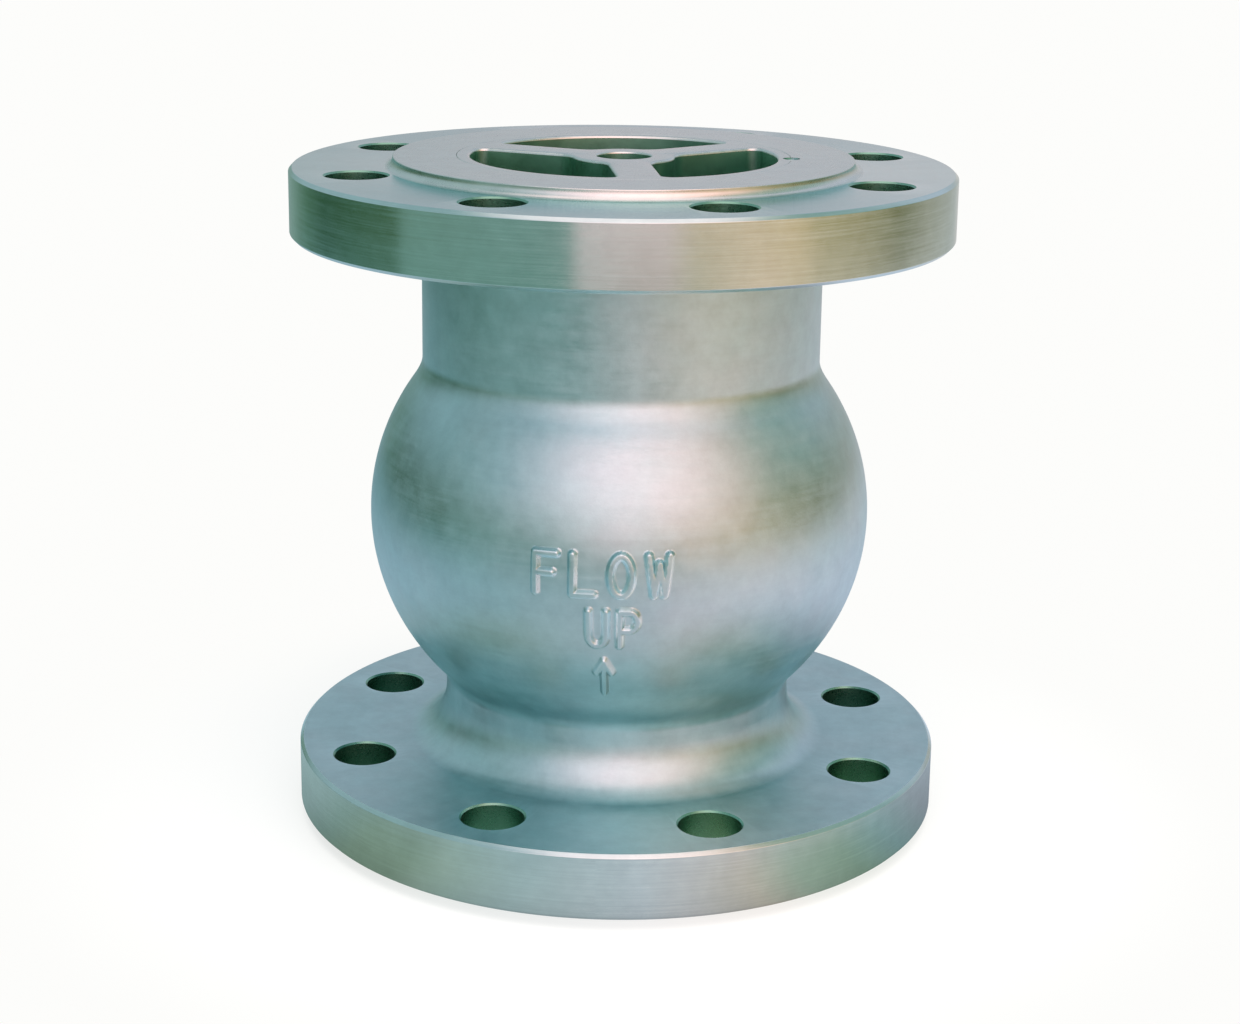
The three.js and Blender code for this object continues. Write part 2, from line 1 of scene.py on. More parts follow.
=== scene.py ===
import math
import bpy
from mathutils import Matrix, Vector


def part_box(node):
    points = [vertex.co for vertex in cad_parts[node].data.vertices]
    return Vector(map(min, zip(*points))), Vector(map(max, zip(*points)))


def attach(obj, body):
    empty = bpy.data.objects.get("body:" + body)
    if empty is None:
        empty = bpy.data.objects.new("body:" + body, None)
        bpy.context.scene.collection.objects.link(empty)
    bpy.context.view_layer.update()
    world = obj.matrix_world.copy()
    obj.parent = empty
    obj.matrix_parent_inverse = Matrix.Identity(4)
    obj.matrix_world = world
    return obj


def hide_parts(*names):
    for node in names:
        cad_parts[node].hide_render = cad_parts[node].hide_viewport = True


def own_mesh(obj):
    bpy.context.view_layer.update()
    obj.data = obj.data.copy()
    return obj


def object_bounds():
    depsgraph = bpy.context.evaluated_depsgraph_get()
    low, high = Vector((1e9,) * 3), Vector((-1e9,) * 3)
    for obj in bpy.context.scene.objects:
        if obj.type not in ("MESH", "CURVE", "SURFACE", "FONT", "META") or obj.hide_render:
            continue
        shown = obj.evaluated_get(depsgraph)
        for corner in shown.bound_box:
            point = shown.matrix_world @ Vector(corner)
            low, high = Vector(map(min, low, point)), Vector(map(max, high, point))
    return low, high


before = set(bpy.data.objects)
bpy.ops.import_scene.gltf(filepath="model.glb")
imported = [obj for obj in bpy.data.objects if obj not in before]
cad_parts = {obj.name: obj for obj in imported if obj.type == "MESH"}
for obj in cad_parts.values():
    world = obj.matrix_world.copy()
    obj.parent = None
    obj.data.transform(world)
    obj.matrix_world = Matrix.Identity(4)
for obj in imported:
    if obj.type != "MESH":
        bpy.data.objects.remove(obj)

# Looks of a flanged lift check valve, built round its CAD frame. Shapes are written in
# millimetres in the valve's frame: +Z is up and along the flow, and angles round the axis are
# counted from the front (-Y) towards +X. Mesh data is in metres.
from types import SimpleNamespace

import bmesh
import bpy
import numpy as np
from mathutils import Matrix, Vector

MM = 0.001
cad_box = [list(corner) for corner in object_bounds()]

# ---- dimensions


def extent(node):
    """A CAD node's bottom, top, half-width and middle at rest, in mm."""
    low, high = (np.array(corner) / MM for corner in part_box(node))
    x, y, z = (low + high) / 2
    return SimpleNamespace(bottom=low[2], top=high[2], radius=(high[0] - low[0]) / 2, x=x, y=y, z=z)


body_at = extent("valve_body")
spider_at = extent("guide_spider")
seat_at = extent("seat_ring")
disc_at = extent("valve_disc")

FLANGE_CHAMFER = 1.0
FACE_RADIUS = 67.5
FACE_HEIGHT = 3.0
FACE_ROOT = 2.4
PLATE = 19.5
BOLT_CIRCLE = 80.0
BOLT_RADIUS = 9.0
BOLT_COUNT = 8
PORT_RADIUS = 40.0
GLOBE_Z = 93.5
GLOBE_RADIUS = 75.0
GLOBE_HALF_HEIGHT = 70.5
WALL = 7.5
UPPER_NECK = 59.2
LOWER_NECK = 52.5
FLARE_WIDTH = 11.5
FLARE_HEIGHT = 15.0
UPPER_ROOT = 3.0
LOWER_PASSAGE = 3.0
UPPER_PASSAGE = 3.2
OUTLET_BORE = 51.0
SEAT_RECESS = 48.5
SEAT_THREAD = 45.0
SPIDER_DEPTH = 16.0
SEAT_LIP = 44.0
BUSH_RADIUS = 10.0
STEM_RADIUS = 7.0
STEM_THREAD = 6.0
STEM_BORE = 6.25
SPRING_WASHER_BORE = 13.5
HUB_THICKNESS = 30.0
SEAL_BORE = 36.0
SEAT_SCREWS = ("seat_lock_screw_front", "seat_lock_screw_back")
THREAD_GAP = 0.15

# ---- mesh helpers


def rounded(corners):
    """A closed outline through corners (radius, z, fillet), each rounded by its own fillet."""
    outline, step = [], math.radians(18)
    for i, (radius, z, fillet) in enumerate(corners):
        here = np.array([radius, z], float)
        before = np.array(corners[i - 1][:2]) - here
        after = np.array(corners[(i + 1) % len(corners)][:2]) - here
        if not fillet:
            outline.append(here)
            continue
        room = 0.48 * min(np.linalg.norm(before), np.linalg.norm(after))
        before /= np.linalg.norm(before)
        after /= np.linalg.norm(after)
        half = math.acos(np.clip(before @ after, -1, 1)) / 2
        reach = min(fillet / math.tan(half), room)
        inward = (before + after) / np.linalg.norm(before + after)
        centre = here + inward * reach / math.cos(half)
        arm = here + before * reach - centre
        turn = math.pi - 2 * half
        if before[0] * after[1] - before[1] * after[0] > 0:
            turn = -turn
        steps = max(2, round(abs(turn) / step))
        for k in range(steps + 1):
            c, s = math.cos(turn * k / steps), math.sin(turn * k / steps)
            outline.append(centre + np.array([c * arm[0] - s * arm[1], s * arm[0] + c * arm[1]]))
    return np.array(outline)


def bend(x, z, across, up, start, end, count=10):
    """Points of an elliptical arc round (x, z), with its angles in degrees."""
    angles = np.radians(np.linspace(start, end, count))
    return [(x + across * math.cos(a), z + up * math.sin(a)) for a in angles]


def unrounded(points):
    """Outline corners without fillets."""
    return [(radius, z, 0) for radius, z in points]


def column(radius, bottom, top, spacing):
    """Unrounded corners up a straight wall, for the thread that gets cut into it later."""
    count = max(2, round(abs(top - bottom) / spacing))
    return [(radius, z, 0) for z in np.linspace(bottom, top, count + 1)]


def lathe(outline, columns):
    """Grid of points and its quads for an outline turned round the axis. It is a solid if the
    outline starts and ends on the axis, and a ring if not."""
    ring = outline[0][0] > 1e-9
    turn = np.arange(columns) * 2 * math.pi / columns
    radius, z = outline[:, :1], outline[:, 1:]
    points = np.stack(
        [radius * np.sin(turn), -radius * np.cos(turn), np.broadcast_to(z, (len(z), columns))], -1
    )
    i, j = np.meshgrid(np.arange(len(outline) - (not ring)), np.arange(columns), indexing="ij")
    down, right = (i + 1) % len(outline), (j + 1) % columns
    quads = [i * columns + j, i * columns + right, down * columns + right, down * columns + j]
    return points.reshape(-1, 3), np.stack(quads, -1).reshape(-1, 4)


def threaded(points, radius, bottom, top, pitch, depth):
    """The same points with a helical thread cut into the wall of this radius."""
    points = points.copy()
    far = np.hypot(points[:, 0], points[:, 1])
    turn = np.arctan2(points[:, 0], -points[:, 1]) / (2 * math.pi)
    z = points[:, 2]
    wave = np.abs(2 * ((z / pitch - turn) % 1) - 1)
    groove = np.clip(1.3 * wave - 0.15, 0, 1)  # with a flat crest and a flat root
    fade = np.clip(np.minimum(z - bottom, top - z) / pitch, 0, 1)
    on_wall = (np.abs(far - radius) < 0.02) & (z >= bottom) & (z <= top)
    points[:, :2] *= np.where(on_wall, 1 - depth * fade * groove / radius, 1)[:, None]
    return points


def tube_faces(rings, sides):
    """Quads round a row of rings of points, and a face over each end."""
    quads = [
        (first + j, first + (j + 1) % sides, first + sides + (j + 1) % sides, first + sides + j)
        for first in range(0, (rings - 1) * sides, sides)
        for j in range(sides)
    ]
    last = (rings - 1) * sides
    return quads + [tuple(range(sides)), tuple(range(last, last + sides))]


def sweep(path, radius, sides, flat=1.0):
    """A tube of round section along a path of points, with flat ends. flat thins the section
    along the frame's second direction."""
    path = np.asarray(path, float)
    ahead = np.gradient(path, axis=0)
    ahead /= np.linalg.norm(ahead, axis=1)[:, None]
    side = np.cross(ahead[0], [0, 0, 1.0])
    if np.linalg.norm(side) < 0.1:
        side = np.cross(ahead[0], [0, 1.0, 0])
    rings = []
    turn = np.arange(sides) * 2 * math.pi / sides
    for point, tangent in zip(path, ahead):
        side = side - tangent * (side @ tangent)
        side /= np.linalg.norm(side)
        up = np.cross(side, tangent)
        rings.append(
            point + radius * (np.cos(turn)[:, None] * side + flat * np.sin(turn)[:, None] * up)
        )
    return np.concatenate(rings), tube_faces(len(path), sides)


def prism(outlines, heights):
    """A solid lofted through flat outlines, all with the same number of points, one per height."""
    count = len(outlines[0])
    points = np.concatenate(
        [np.c_[outline, np.full(count, z)] for outline, z in zip(outlines, heights)]
    )
    return points, tube_faces(len(outlines), count)


def polygon(radius, sides, turn=0.0):
    """A regular polygon's corners; turn is in degrees."""
    angles = np.radians(turn) + np.arange(sides) * 2 * math.pi / sides
    return np.c_[radius * np.cos(angles), radius * np.sin(angles)]


def block(x, y, z):
    """A box between two limits along each axis."""
    plan = np.array([(x[0], y[0]), (x[1], y[0]), (x[1], y[1]), (x[0], y[1])], float)
    return prism([plan, plan], z)


def moved(shape, offset=(0, 0, 0), turn=0.0, axis="Z"):
    """Points and faces turned by degrees about an axis through the origin, then moved."""
    points, faces = shape
    rotation = np.array(Matrix.Rotation(math.radians(turn), 3, axis))
    return points @ rotation.T + np.array(offset, float), faces


def together(shapes):
    """Several separate shapes as one list of points and faces."""
    points, faces, start = [], [], 0
    for some, its_faces in shapes:
        points.append(some)
        faces += [tuple(int(i) + start for i in face) for face in its_faces]
        start += len(some)
    return np.concatenate(points), faces


def linked(name, data):
    """A new object with this data, in the scene."""
    made = bpy.data.objects.new(name, data)
    bpy.context.scene.collection.objects.link(made)
    return made


def raw_object(name, shape):
    """An object with these points and faces, welded and with its normals turned outwards."""
    points, faces = shape
    mesh = bpy.data.meshes.new(name)
    mesh.from_pydata((np.asarray(points) * MM).tolist(), [], [tuple(map(int, f)) for f in faces])
    cleaned = bmesh.new()
    cleaned.from_mesh(mesh)
    bmesh.ops.remove_doubles(cleaned, verts=cleaned.verts, dist=1e-7)
    bmesh.ops.recalc_face_normals(cleaned, faces=cleaned.faces)
    cleaned.to_mesh(mesh)
    cleaned.free()
    return linked(name, mesh)


def settle(target):
    """Applies an object's modifiers to its mesh."""
    evaluated = target.evaluated_get(bpy.context.evaluated_depsgraph_get())
    mesh = bpy.data.meshes.new_from_object(evaluated)
    target.modifiers.clear()
    target.data = mesh


def carve(target, shape, operation="DIFFERENCE"):
    """Cuts a shape out of an object, or joins or intersects them, exactly."""
    tool = raw_object("tool", shape)
    modifier = target.modifiers.new("carve", "BOOLEAN")
    modifier.operation = operation
    modifier.solver = "EXACT"
    modifier.object = tool
    settle(target)
    bpy.data.objects.remove(tool)


SHARP = math.radians(33)


def finish_piece(made, node, body, material=None, weighted=True):
    """Smooth shading with sharp edges kept, then the material, the body and the CAD node."""
    shaded = bmesh.new()
    shaded.from_mesh(made.data)
    bmesh.ops.remove_doubles(shaded, verts=shaded.verts, dist=2e-7)
    bmesh.ops.dissolve_degenerate(shaded, edges=shaded.edges, dist=1e-7)
    for edge in shaded.edges:
        edge.smooth = not (edge.is_manifold and edge.calc_face_angle(0) > SHARP)
    for face in shaded.faces:
        face.smooth = True
    shaded.to_mesh(made.data)
    shaded.free()
    if weighted:
        modifier = made.modifiers.new("normals", "WEIGHTED_NORMAL")
        modifier.keep_sharp = True
        settle(made)
    made.data.name = made.name
    if material:
        made.data.materials.append(material)
    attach(made, body)
    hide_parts(node)


# ---- material helpers


class Tree:
    """Adds nodes to a shader tree. An input is a number, a colour or another node's output."""

    def __init__(self, owner):
        owner.use_nodes = True
        self.tree = owner.node_tree
        self.tree.nodes.clear()

    def add(self, kind, inputs=(), **settings):
        made = self.tree.nodes.new("ShaderNode" + kind)
        for key, value in settings.items():
            setattr(made, key, value)
        for key, value in dict(inputs).items():
            if isinstance(value, bpy.types.NodeSocket):
                self.tree.links.new(value, made.inputs[key])
            else:
                made.inputs[key].default_value = value
        return made

    def math(self, operation, *values):
        return self.add("Math", enumerate(values), operation=operation).outputs[0]

    def remap(self, value, low, high, to_low=0.0, to_high=1.0, smooth=False):
        inputs = {"Value": value, "From Min": low, "From Max": high, "To Min": to_low, "To Max": to_high}
        kind = "SMOOTHSTEP" if smooth else "LINEAR"
        return self.add("MapRange", inputs, interpolation_type=kind).outputs["Result"]

    def mix(self, share, a, b, blend="MIX"):
        return self.add("Mix", {0: share, 6: a, 7: b}, data_type="RGBA", blend_type=blend).outputs[2]

    def shaded(self, color, share):
        """A colour made darker or brighter all over."""
        grey = self.add("CombineColor", {0: share, 1: share, 2: share}).outputs[0]
        return self.mix(1.0, color, grey, "MULTIPLY")

    def noise(self, vector, scale, detail=2.0, roughness=0.5):
        inputs = {"Vector": vector, "Scale": scale, "Detail": detail, "Roughness": roughness}
        return self.add("TexNoise", inputs).outputs["Fac"]

    def bump(self, height, distance, normal=None):
        inputs = {"Height": height, "Distance": distance, "Strength": 1.0}
        if normal is not None:
            inputs["Normal"] = normal
        return self.add("Bump", inputs).outputs["Normal"]

    def ramp(self, value, stops):
        made = self.add("ValToRGB", {"Fac": value})
        elements = made.color_ramp.elements
        while len(elements) < len(stops):
            elements.new(0.5)
        for element, (position, color) in zip(elements, stops):
            element.position = position
            element.color = (*color, 1.0)
        return made.outputs["Color"]

    def cylindrical(self, position):
        """Distance from the valve's axis, angle round it and height, of a point in metres."""
        xyz = self.add("SeparateXYZ", {0: position}).outputs
        squares = self.math("ADD", self.math("POWER", xyz[0], 2.0), self.math("POWER", xyz[1], 2.0))
        return self.math("SQRT", squares), self.math("ARCTAN2", xyz[0], xyz[1]), xyz[2]


def surface(
    name, color, roughness, metallic=1.0, tint=(1.0, 1.0, 1.0), grain=None, dents=None,
    lines=None, mottle=0.06, streaks=0.06, anisotropy=0.0, wear=0.0,
):
    """A worked surface. grain and dents are (size, height) in mm of a fine and a coarse
    unevenness, lines the same for turning marks round the axis and streaks how far their colour
    wanders, mottle is how far the colour and the roughness wander from place to place, and wear
    how much brighter and smoother the outer edges are."""
    material = bpy.data.materials.new(name)
    tree = Tree(material)
    position = tree.add("TexCoord").outputs["Object"]
    broad = tree.noise(position, 30.0, 3.0, 0.6)
    patches = tree.noise(position, 160.0, 4.0, 0.65)
    shifted = [c * t for c, t in zip(color, tint)]
    base = tree.mix(tree.remap(broad, 0.35, 0.65, smooth=True), (*color, 1.0), (*shifted, 1.0))
    base = tree.shaded(base, tree.remap(patches, 0.3, 0.7, 1 - mottle, 1 + mottle))
    rough = tree.remap(patches, 0.3, 0.7, roughness * (1 - mottle), roughness * (1 + mottle))
    normal = None
    if dents:
        size, height = dents
        normal = tree.bump(tree.noise(position, 1000 / size, 2.0), height * MM)
    if grain:
        size, height = grain
        speck = tree.noise(position, 1000 / size, 3.0, 0.6)
        normal = tree.bump(speck, height * MM, normal)
        rough = tree.math("ADD", rough, tree.remap(speck, 0.3, 0.7, -0.03, 0.03))
    if lines:
        size, height = lines
        radius, angle, z = tree.cylindrical(position)
        stretches = zip((radius, angle, z), (1000 / size, 2.5, 1000 / size))
        axes = [tree.math("MULTIPLY", value, times) for value, times in stretches]
        stretched = tree.add("CombineXYZ", enumerate(axes)).outputs[0]
        marks = tree.noise(stretched, 1.0, 4.0, 0.7)
        normal = tree.bump(marks, height * MM, normal)
        rough = tree.math("ADD", rough, tree.remap(marks, 0.3, 0.7, -0.05, 0.05))
        base = tree.shaded(base, tree.remap(marks, 0.3, 0.7, 1 - streaks, 1 + streaks))
    if wear:
        pointed = tree.add("NewGeometry").outputs["Pointiness"]
        edge = tree.remap(pointed, 0.505, 0.56, 0.0, wear, smooth=True)
        bright = tuple(min(1.0, c * 1.3) for c in color)
        base = tree.mix(edge, base, (*bright, 1.0))
        rough = tree.math("SUBTRACT", rough, tree.math("MULTIPLY", edge, 0.12))
    inputs = {"Base Color": base, "Roughness": rough, "Metallic": metallic}
    if normal is not None:
        inputs["Normal"] = normal
    if anisotropy:
        inputs["Anisotropic"] = anisotropy
        inputs["Anisotropic Rotation"] = 0.25
        inputs["Tangent"] = tree.add("Tangent", direction_type="RADIAL", axis="Z").outputs[0]
    shader = tree.add("BsdfPrincipled", inputs)
    tree.add("OutputMaterial", {"Surface": shader.outputs[0]})
    return material


cast_stainless = surface(
    "cast_stainless", (0.60, 0.65, 0.67), 0.39, tint=(0.94, 1.0, 1.0), grain=(0.55, 0.02),
    dents=(7.0, 0.06), lines=(1.6, 0.003), streaks=0.03, mottle=0.08, wear=0.5,
)
# Rough as cast inside, and dark green: painted shade for the hollow inside of the body.
cast_inside_painted_shade = surface(
    "cast_inside_painted_shade", (0.20, 0.27, 0.23), 0.55, tint=(0.9, 0.95, 0.9), grain=(0.6, 0.05),
    dents=(5.0, 0.12), mottle=0.15,
)
turned_stainless = surface(
    "turned_stainless", (0.64, 0.66, 0.65), 0.21, tint=(0.97, 1.0, 1.0), grain=(0.4, 0.002),
    lines=(0.45, 0.003), mottle=0.05, anisotropy=0.75, wear=0.6,
)
# Ground faces, with a warm pinkish tint that is a painted reflection of warm surroundings.
ground_stainless_painted_reflection = surface(
    "ground_stainless_painted_reflection", (0.82, 0.73, 0.69), 0.3, tint=(0.98, 0.99, 1.0), grain=(0.6, 0.002),
    lines=(0.9, 0.003), mottle=0.06,
)
# Drilled hole walls, dark green: painted shade inside the bolt holes.
drilled_stainless_painted_shade = surface(
    "drilled_stainless_painted_shade", (0.25, 0.40, 0.31), 0.34, tint=(0.9, 1.0, 0.95), grain=(0.5, 0.006),
    lines=(0.5, 0.004), mottle=0.08, wear=0.4,
)
# Steep walls of the spider, its windows' and hub bore among them, green and darker: painted shade inside
# the openings.
window_stainless_painted_shade = surface(
    "window_stainless_painted_shade", (0.36, 0.56, 0.43), 0.36, tint=(0.9, 1.0, 0.95), grain=(0.5, 0.006),
    mottle=0.08, wear=0.4,
)
milled_stainless = surface(
    "milled_stainless", (0.64, 0.66, 0.65), 0.3, tint=(0.96, 1.0, 0.99), grain=(0.6, 0.006),
    lines=(0.8, 0.003), mottle=0.06, wear=0.5,
)
spring_steel = surface(
    "spring_steel", (0.56, 0.58, 0.58), 0.28, tint=(0.9, 0.95, 1.0), grain=(0.3, 0.003),
    mottle=0.08, wear=0.3,
)
fastener_steel = surface(
    "fastener_steel", (0.62, 0.63, 0.62), 0.32, tint=(0.95, 0.98, 1.0), grain=(0.3, 0.004),
    mottle=0.07, wear=0.5,
)
bronze = surface(
    "bearing_bronze", (0.66, 0.48, 0.25), 0.36, tint=(1.0, 0.9, 0.8), grain=(0.35, 0.004),
    lines=(0.4, 0.003), mottle=0.1, wear=0.3,
)
ptfe = surface(
    "ptfe", (0.86, 0.84, 0.79), 0.45, metallic=0.0, tint=(0.97, 0.96, 0.93), grain=(0.5, 0.004),
    lines=(0.4, 0.004), mottle=0.03,
)
gasket_fibre = surface(
    "gasket_fibre", (0.16, 0.20, 0.19), 0.8, metallic=0.0, tint=(1.3, 1.2, 1.1),
    grain=(0.4, 0.03), mottle=0.2,
)
seal_rubber = surface(
    "seal_rubber", (0.018, 0.018, 0.02), 0.55, metallic=0.0, tint=(1.4, 1.4, 1.4),
    grain=(0.25, 0.004), mottle=0.15,
)

# ---- cast marking

# Strokes of each sign, in a box that is one wide and one high.
SIGNS = {
    "F": [[(0, 0), (0, 1), (1, 1)], [(0, 0.52), (0.8, 0.52)]],
    "L": [[(0, 1), (0, 0), (1, 0)]],
    "O": [bend(0.5, 0.5, 0.5, 0.5, 0, 360, 25)],
    "W": [[(0, 1), (0.25, 0), (0.5, 0.8), (0.75, 0), (1, 1)]],
    "U": [[(0, 1), *bend(0.5, 0.3, 0.5, 0.3, 180, 360), (1, 1)]],
    "P": [[(0, 0), (0, 1), *bend(0.55, 0.73, 0.45, 0.27, 90, -90), (0, 0.46)]],
    "arrow": [[(0.5, 0), (0.5, 1)], [(0, 0.64), (0.5, 1), (1, 0.64)]],
}
STROKE = 1.05  # half the width of a stroke, near the middle of its flanks
FLANK = 1.0
FOOT = 0.45  # how far a flank's foot lies outside the stroke's half width
RELIEF = 1.35
MARK_HALF_ANGLE = math.radians(18)
MARK_BOTTOM, MARK_TOP = 54.5, 104.0


def line_of_signs(signs, centre, bottom, top, width, gap):
    """Strokes of a line of signs on the unrolled globe, in mm."""
    across, up = width - 2 * STROKE, top - bottom - 2 * STROKE
    start = centre - (len(signs) * (width + gap) - gap) / 2 + STROKE
    strokes = []
    for i, sign in enumerate(signs):
        left = start + i * (width + gap)
        for stroke in SIGNS[sign]:
            strokes.append([(left + x * across, bottom + STROKE + z * up) for x, z in stroke])
    return strokes


marking = (
    line_of_signs("FLOW", -0.5, 88.3, 101.6, 8.0, 2.5)
    + line_of_signs("UP", 2.6, 73.0, 85.5, 7.0, 1.8)
    + line_of_signs(["arrow"], 0.0, 56.7, 69.9, 6.6, 0)
)


def relief(x, z):
    """Height of the cast marking over the globe at points of its unrolled surface."""
    nearest = np.full(len(x), 10.0)
    here = np.c_[x, z]
    for stroke in marking:
        for start, end in zip(stroke, stroke[1:]):
            start, end = np.array(start), np.array(end)
            along = end - start
            share = np.clip((here - start) @ along / (along @ along), 0, 1)
            nearest = np.minimum(nearest, np.linalg.norm(here - start - share[:, None] * along, axis=1))
    rise = np.clip((STROKE + FOOT - nearest) / FLANK, 0, 1)
    return RELIEF * rise * rise * (3 - 2 * rise)


# ---- valve body


def globe_radius(z):
    return GLOBE_RADIUS * np.sqrt(np.clip(1 - ((z - GLOBE_Z) / GLOBE_HALF_HEIGHT) ** 2, 0, 1))


def blended(a, b, width):
    """The larger of two numbers, with a smooth passage where they are nearly equal."""
    overlap = max(width - abs(a - b), 0) / width
    return max(a, b) + overlap * overlap * width / 4


def waist(z):
    """Radius of the cast outside between the flanges' root fillets."""
    neck, passage = (LOWER_NECK, LOWER_PASSAGE) if z < GLOBE_Z else (UPPER_NECK, UPPER_PASSAGE)
    return blended(globe_radius(z), neck, passage)


def flange_rim(low, high):
    """Corners of a flange plate's rim, from its lower face to its upper one."""
    far, near = body_at.radius, body_at.radius - FLANGE_CHAMFER
    foot, head = low + FLANGE_CHAMFER, high - FLANGE_CHAMFER
    return [(near, low, 0.3), (far, foot, 0.3), (far, head, 0.3), (near, high, 0.3)]


def body_outline():
    top, bottom = body_at.top, body_at.bottom
    inlet_back, outlet_back = bottom + FACE_HEIGHT + PLATE, top - FACE_HEIGHT - PLATE
    corners = [
        (PORT_RADIUS + 1, bottom, 0.3), (FACE_RADIUS, bottom, 0.3),
        (FACE_RADIUS, bottom + FACE_HEIGHT, 0.4),
        *flange_rim(bottom + FACE_HEIGHT, inlet_back),
    ]
    start, end = inlet_back + FLARE_HEIGHT, outlet_back - UPPER_ROOT
    flare_foot = LOWER_NECK + FLARE_WIDTH
    corners += unrounded(bend(flare_foot, start, FLARE_WIDTH, FLARE_HEIGHT, 270, 184, 22))
    heights = [  # close together where the outline bends and where the marking goes
        *np.arange(start + 0.5, 54.0, 0.7),
        *np.linspace(54.0, 105.0, 22),
        *np.arange(106.5, 128.0, 1.8),
        *np.arange(128.0, 145.0, 0.7),
        *np.arange(146.0, end, 6.0),
    ]
    corners += [(waist(z), z, 0) for z in heights]
    corners += unrounded(bend(UPPER_NECK + UPPER_ROOT, end, UPPER_ROOT, UPPER_ROOT, 180, 90, 7))
    corners += flange_rim(outlet_back, top - FACE_HEIGHT)
    face_foot = top - FACE_HEIGHT + FACE_ROOT
    corners += unrounded(bend(FACE_RADIUS + FACE_ROOT, face_foot, FACE_ROOT, FACE_ROOT, 270, 180, 9))
    throat, shoulder = disc_at.radius + 1.2, spider_at.top - SPIDER_DEPTH
    corners += [
        (FACE_RADIUS, top, 0.6), (spider_at.radius + 0.1, top, 0.08),
        (spider_at.radius + 0.1, top - 1, 0),
        (spider_at.radius + 2 * THREAD_GAP, top - 1.3, 0),
        (spider_at.radius + 2 * THREAD_GAP, shoulder, 0.2), (throat, shoulder, 0.4),
        (throat, shoulder - 6, 0.5), (OUTLET_BORE, shoulder - 12, 2.0),
    ]
    inner = GLOBE_RADIUS - WALL
    upper = math.degrees(math.acos(OUTLET_BORE / inner))
    lower = -math.degrees(math.acos(SEAT_RECESS / inner))
    corners += unrounded(bend(0, GLOBE_Z, inner, GLOBE_HALF_HEIGHT - WALL, upper, lower, 28))
    ledge = seat_at.top - 7.5
    corners += [
        (SEAT_RECESS, ledge, 0.3), (SEAT_THREAD + THREAD_GAP, ledge, 0.2),
        (SEAT_THREAD + THREAD_GAP, seat_at.bottom - 0.5, 0.3),
        (PORT_RADIUS, seat_at.bottom - 0.5, 0.3), (PORT_RADIUS, bottom + 1, 0.4),
    ]
    return rounded(corners)


def bolt_hole_cutters():
    """A hole through each flange plate, widened by a small chamfer at both faces."""
    chamfer = 0.5
    cutters = []
    for low in (body_at.bottom + FACE_HEIGHT, body_at.top - FACE_HEIGHT - PLATE):
        high = low + PLATE
        heights = [low - 1, low, low + chamfer, high - chamfer, high, high + 1]
        widths = [chamfer, chamfer, 0, 0, chamfer, chamfer]
        hole = prism([polygon(BOLT_RADIUS + w, 48) for w in widths], heights)
        for i in range(BOLT_COUNT):
            angle = (i + 0.5) * 2 * math.pi / BOLT_COUNT
            place = (BOLT_CIRCLE * math.sin(angle), -BOLT_CIRCLE * math.cos(angle), 0)
            cutters.append(moved(hole, place))
    return together(cutters)


def screw_seat(node):
    """The hole that a grub screw sits in, open at the top."""
    at, gap = extent(node), 0.25
    hole = prism([polygon(at.radius + gap, 32)] * 2, (at.bottom - gap, at.top + 3))
    return moved(hole, (at.x, at.y, 0))


def emboss(mesh):
    """Refines the front of the globe and raises the cast marking on it."""
    cuts, skin, margin = 8, 1.0, 1.5
    fine = bmesh.new()
    fine.from_mesh(mesh)

    def in_window(face):
        x, y, z = face.calc_center_median() / MM
        return (
            MARK_BOTTOM < z < MARK_TOP
            and math.hypot(x, y) > globe_radius(z) - skin
            and abs(math.atan2(x, -y)) < MARK_HALF_ANGLE
        )

    edges = {edge for face in fine.faces if in_window(face) for edge in face.edges}
    bmesh.ops.subdivide_edges(fine, edges=list(edges), cuts=cuts, use_grid_fill=True)
    fine.to_mesh(mesh)
    fine.free()
    points = np.empty(len(mesh.vertices) * 3)
    mesh.vertices.foreach_get("co", points)
    points = points.reshape(-1, 3) / MM
    x, y, z = points.T
    angle = np.arctan2(x, -y)
    surface_radius = globe_radius(z)
    near = np.abs(angle) < MARK_HALF_ANGLE + margin / GLOBE_RADIUS
    near &= (z > MARK_BOTTOM - margin) & (z < MARK_TOP + margin)
    near &= np.hypot(x, y) > surface_radius - skin
    angle, z, surface_radius = angle[near], z[near], surface_radius[near]
    height = relief(angle * GLOBE_RADIUS, z)
    out = surface_radius / GLOBE_RADIUS**2
    up = (z - GLOBE_Z) / GLOBE_HALF_HEIGHT**2
    length = np.hypot(out, up)
    radius = surface_radius + height * out / length
    points[near] = np.c_[radius * np.sin(angle), -radius * np.cos(angle), z + height * up / length]
    mesh.vertices.foreach_set("co", (points * MM).ravel())
    mesh.update()


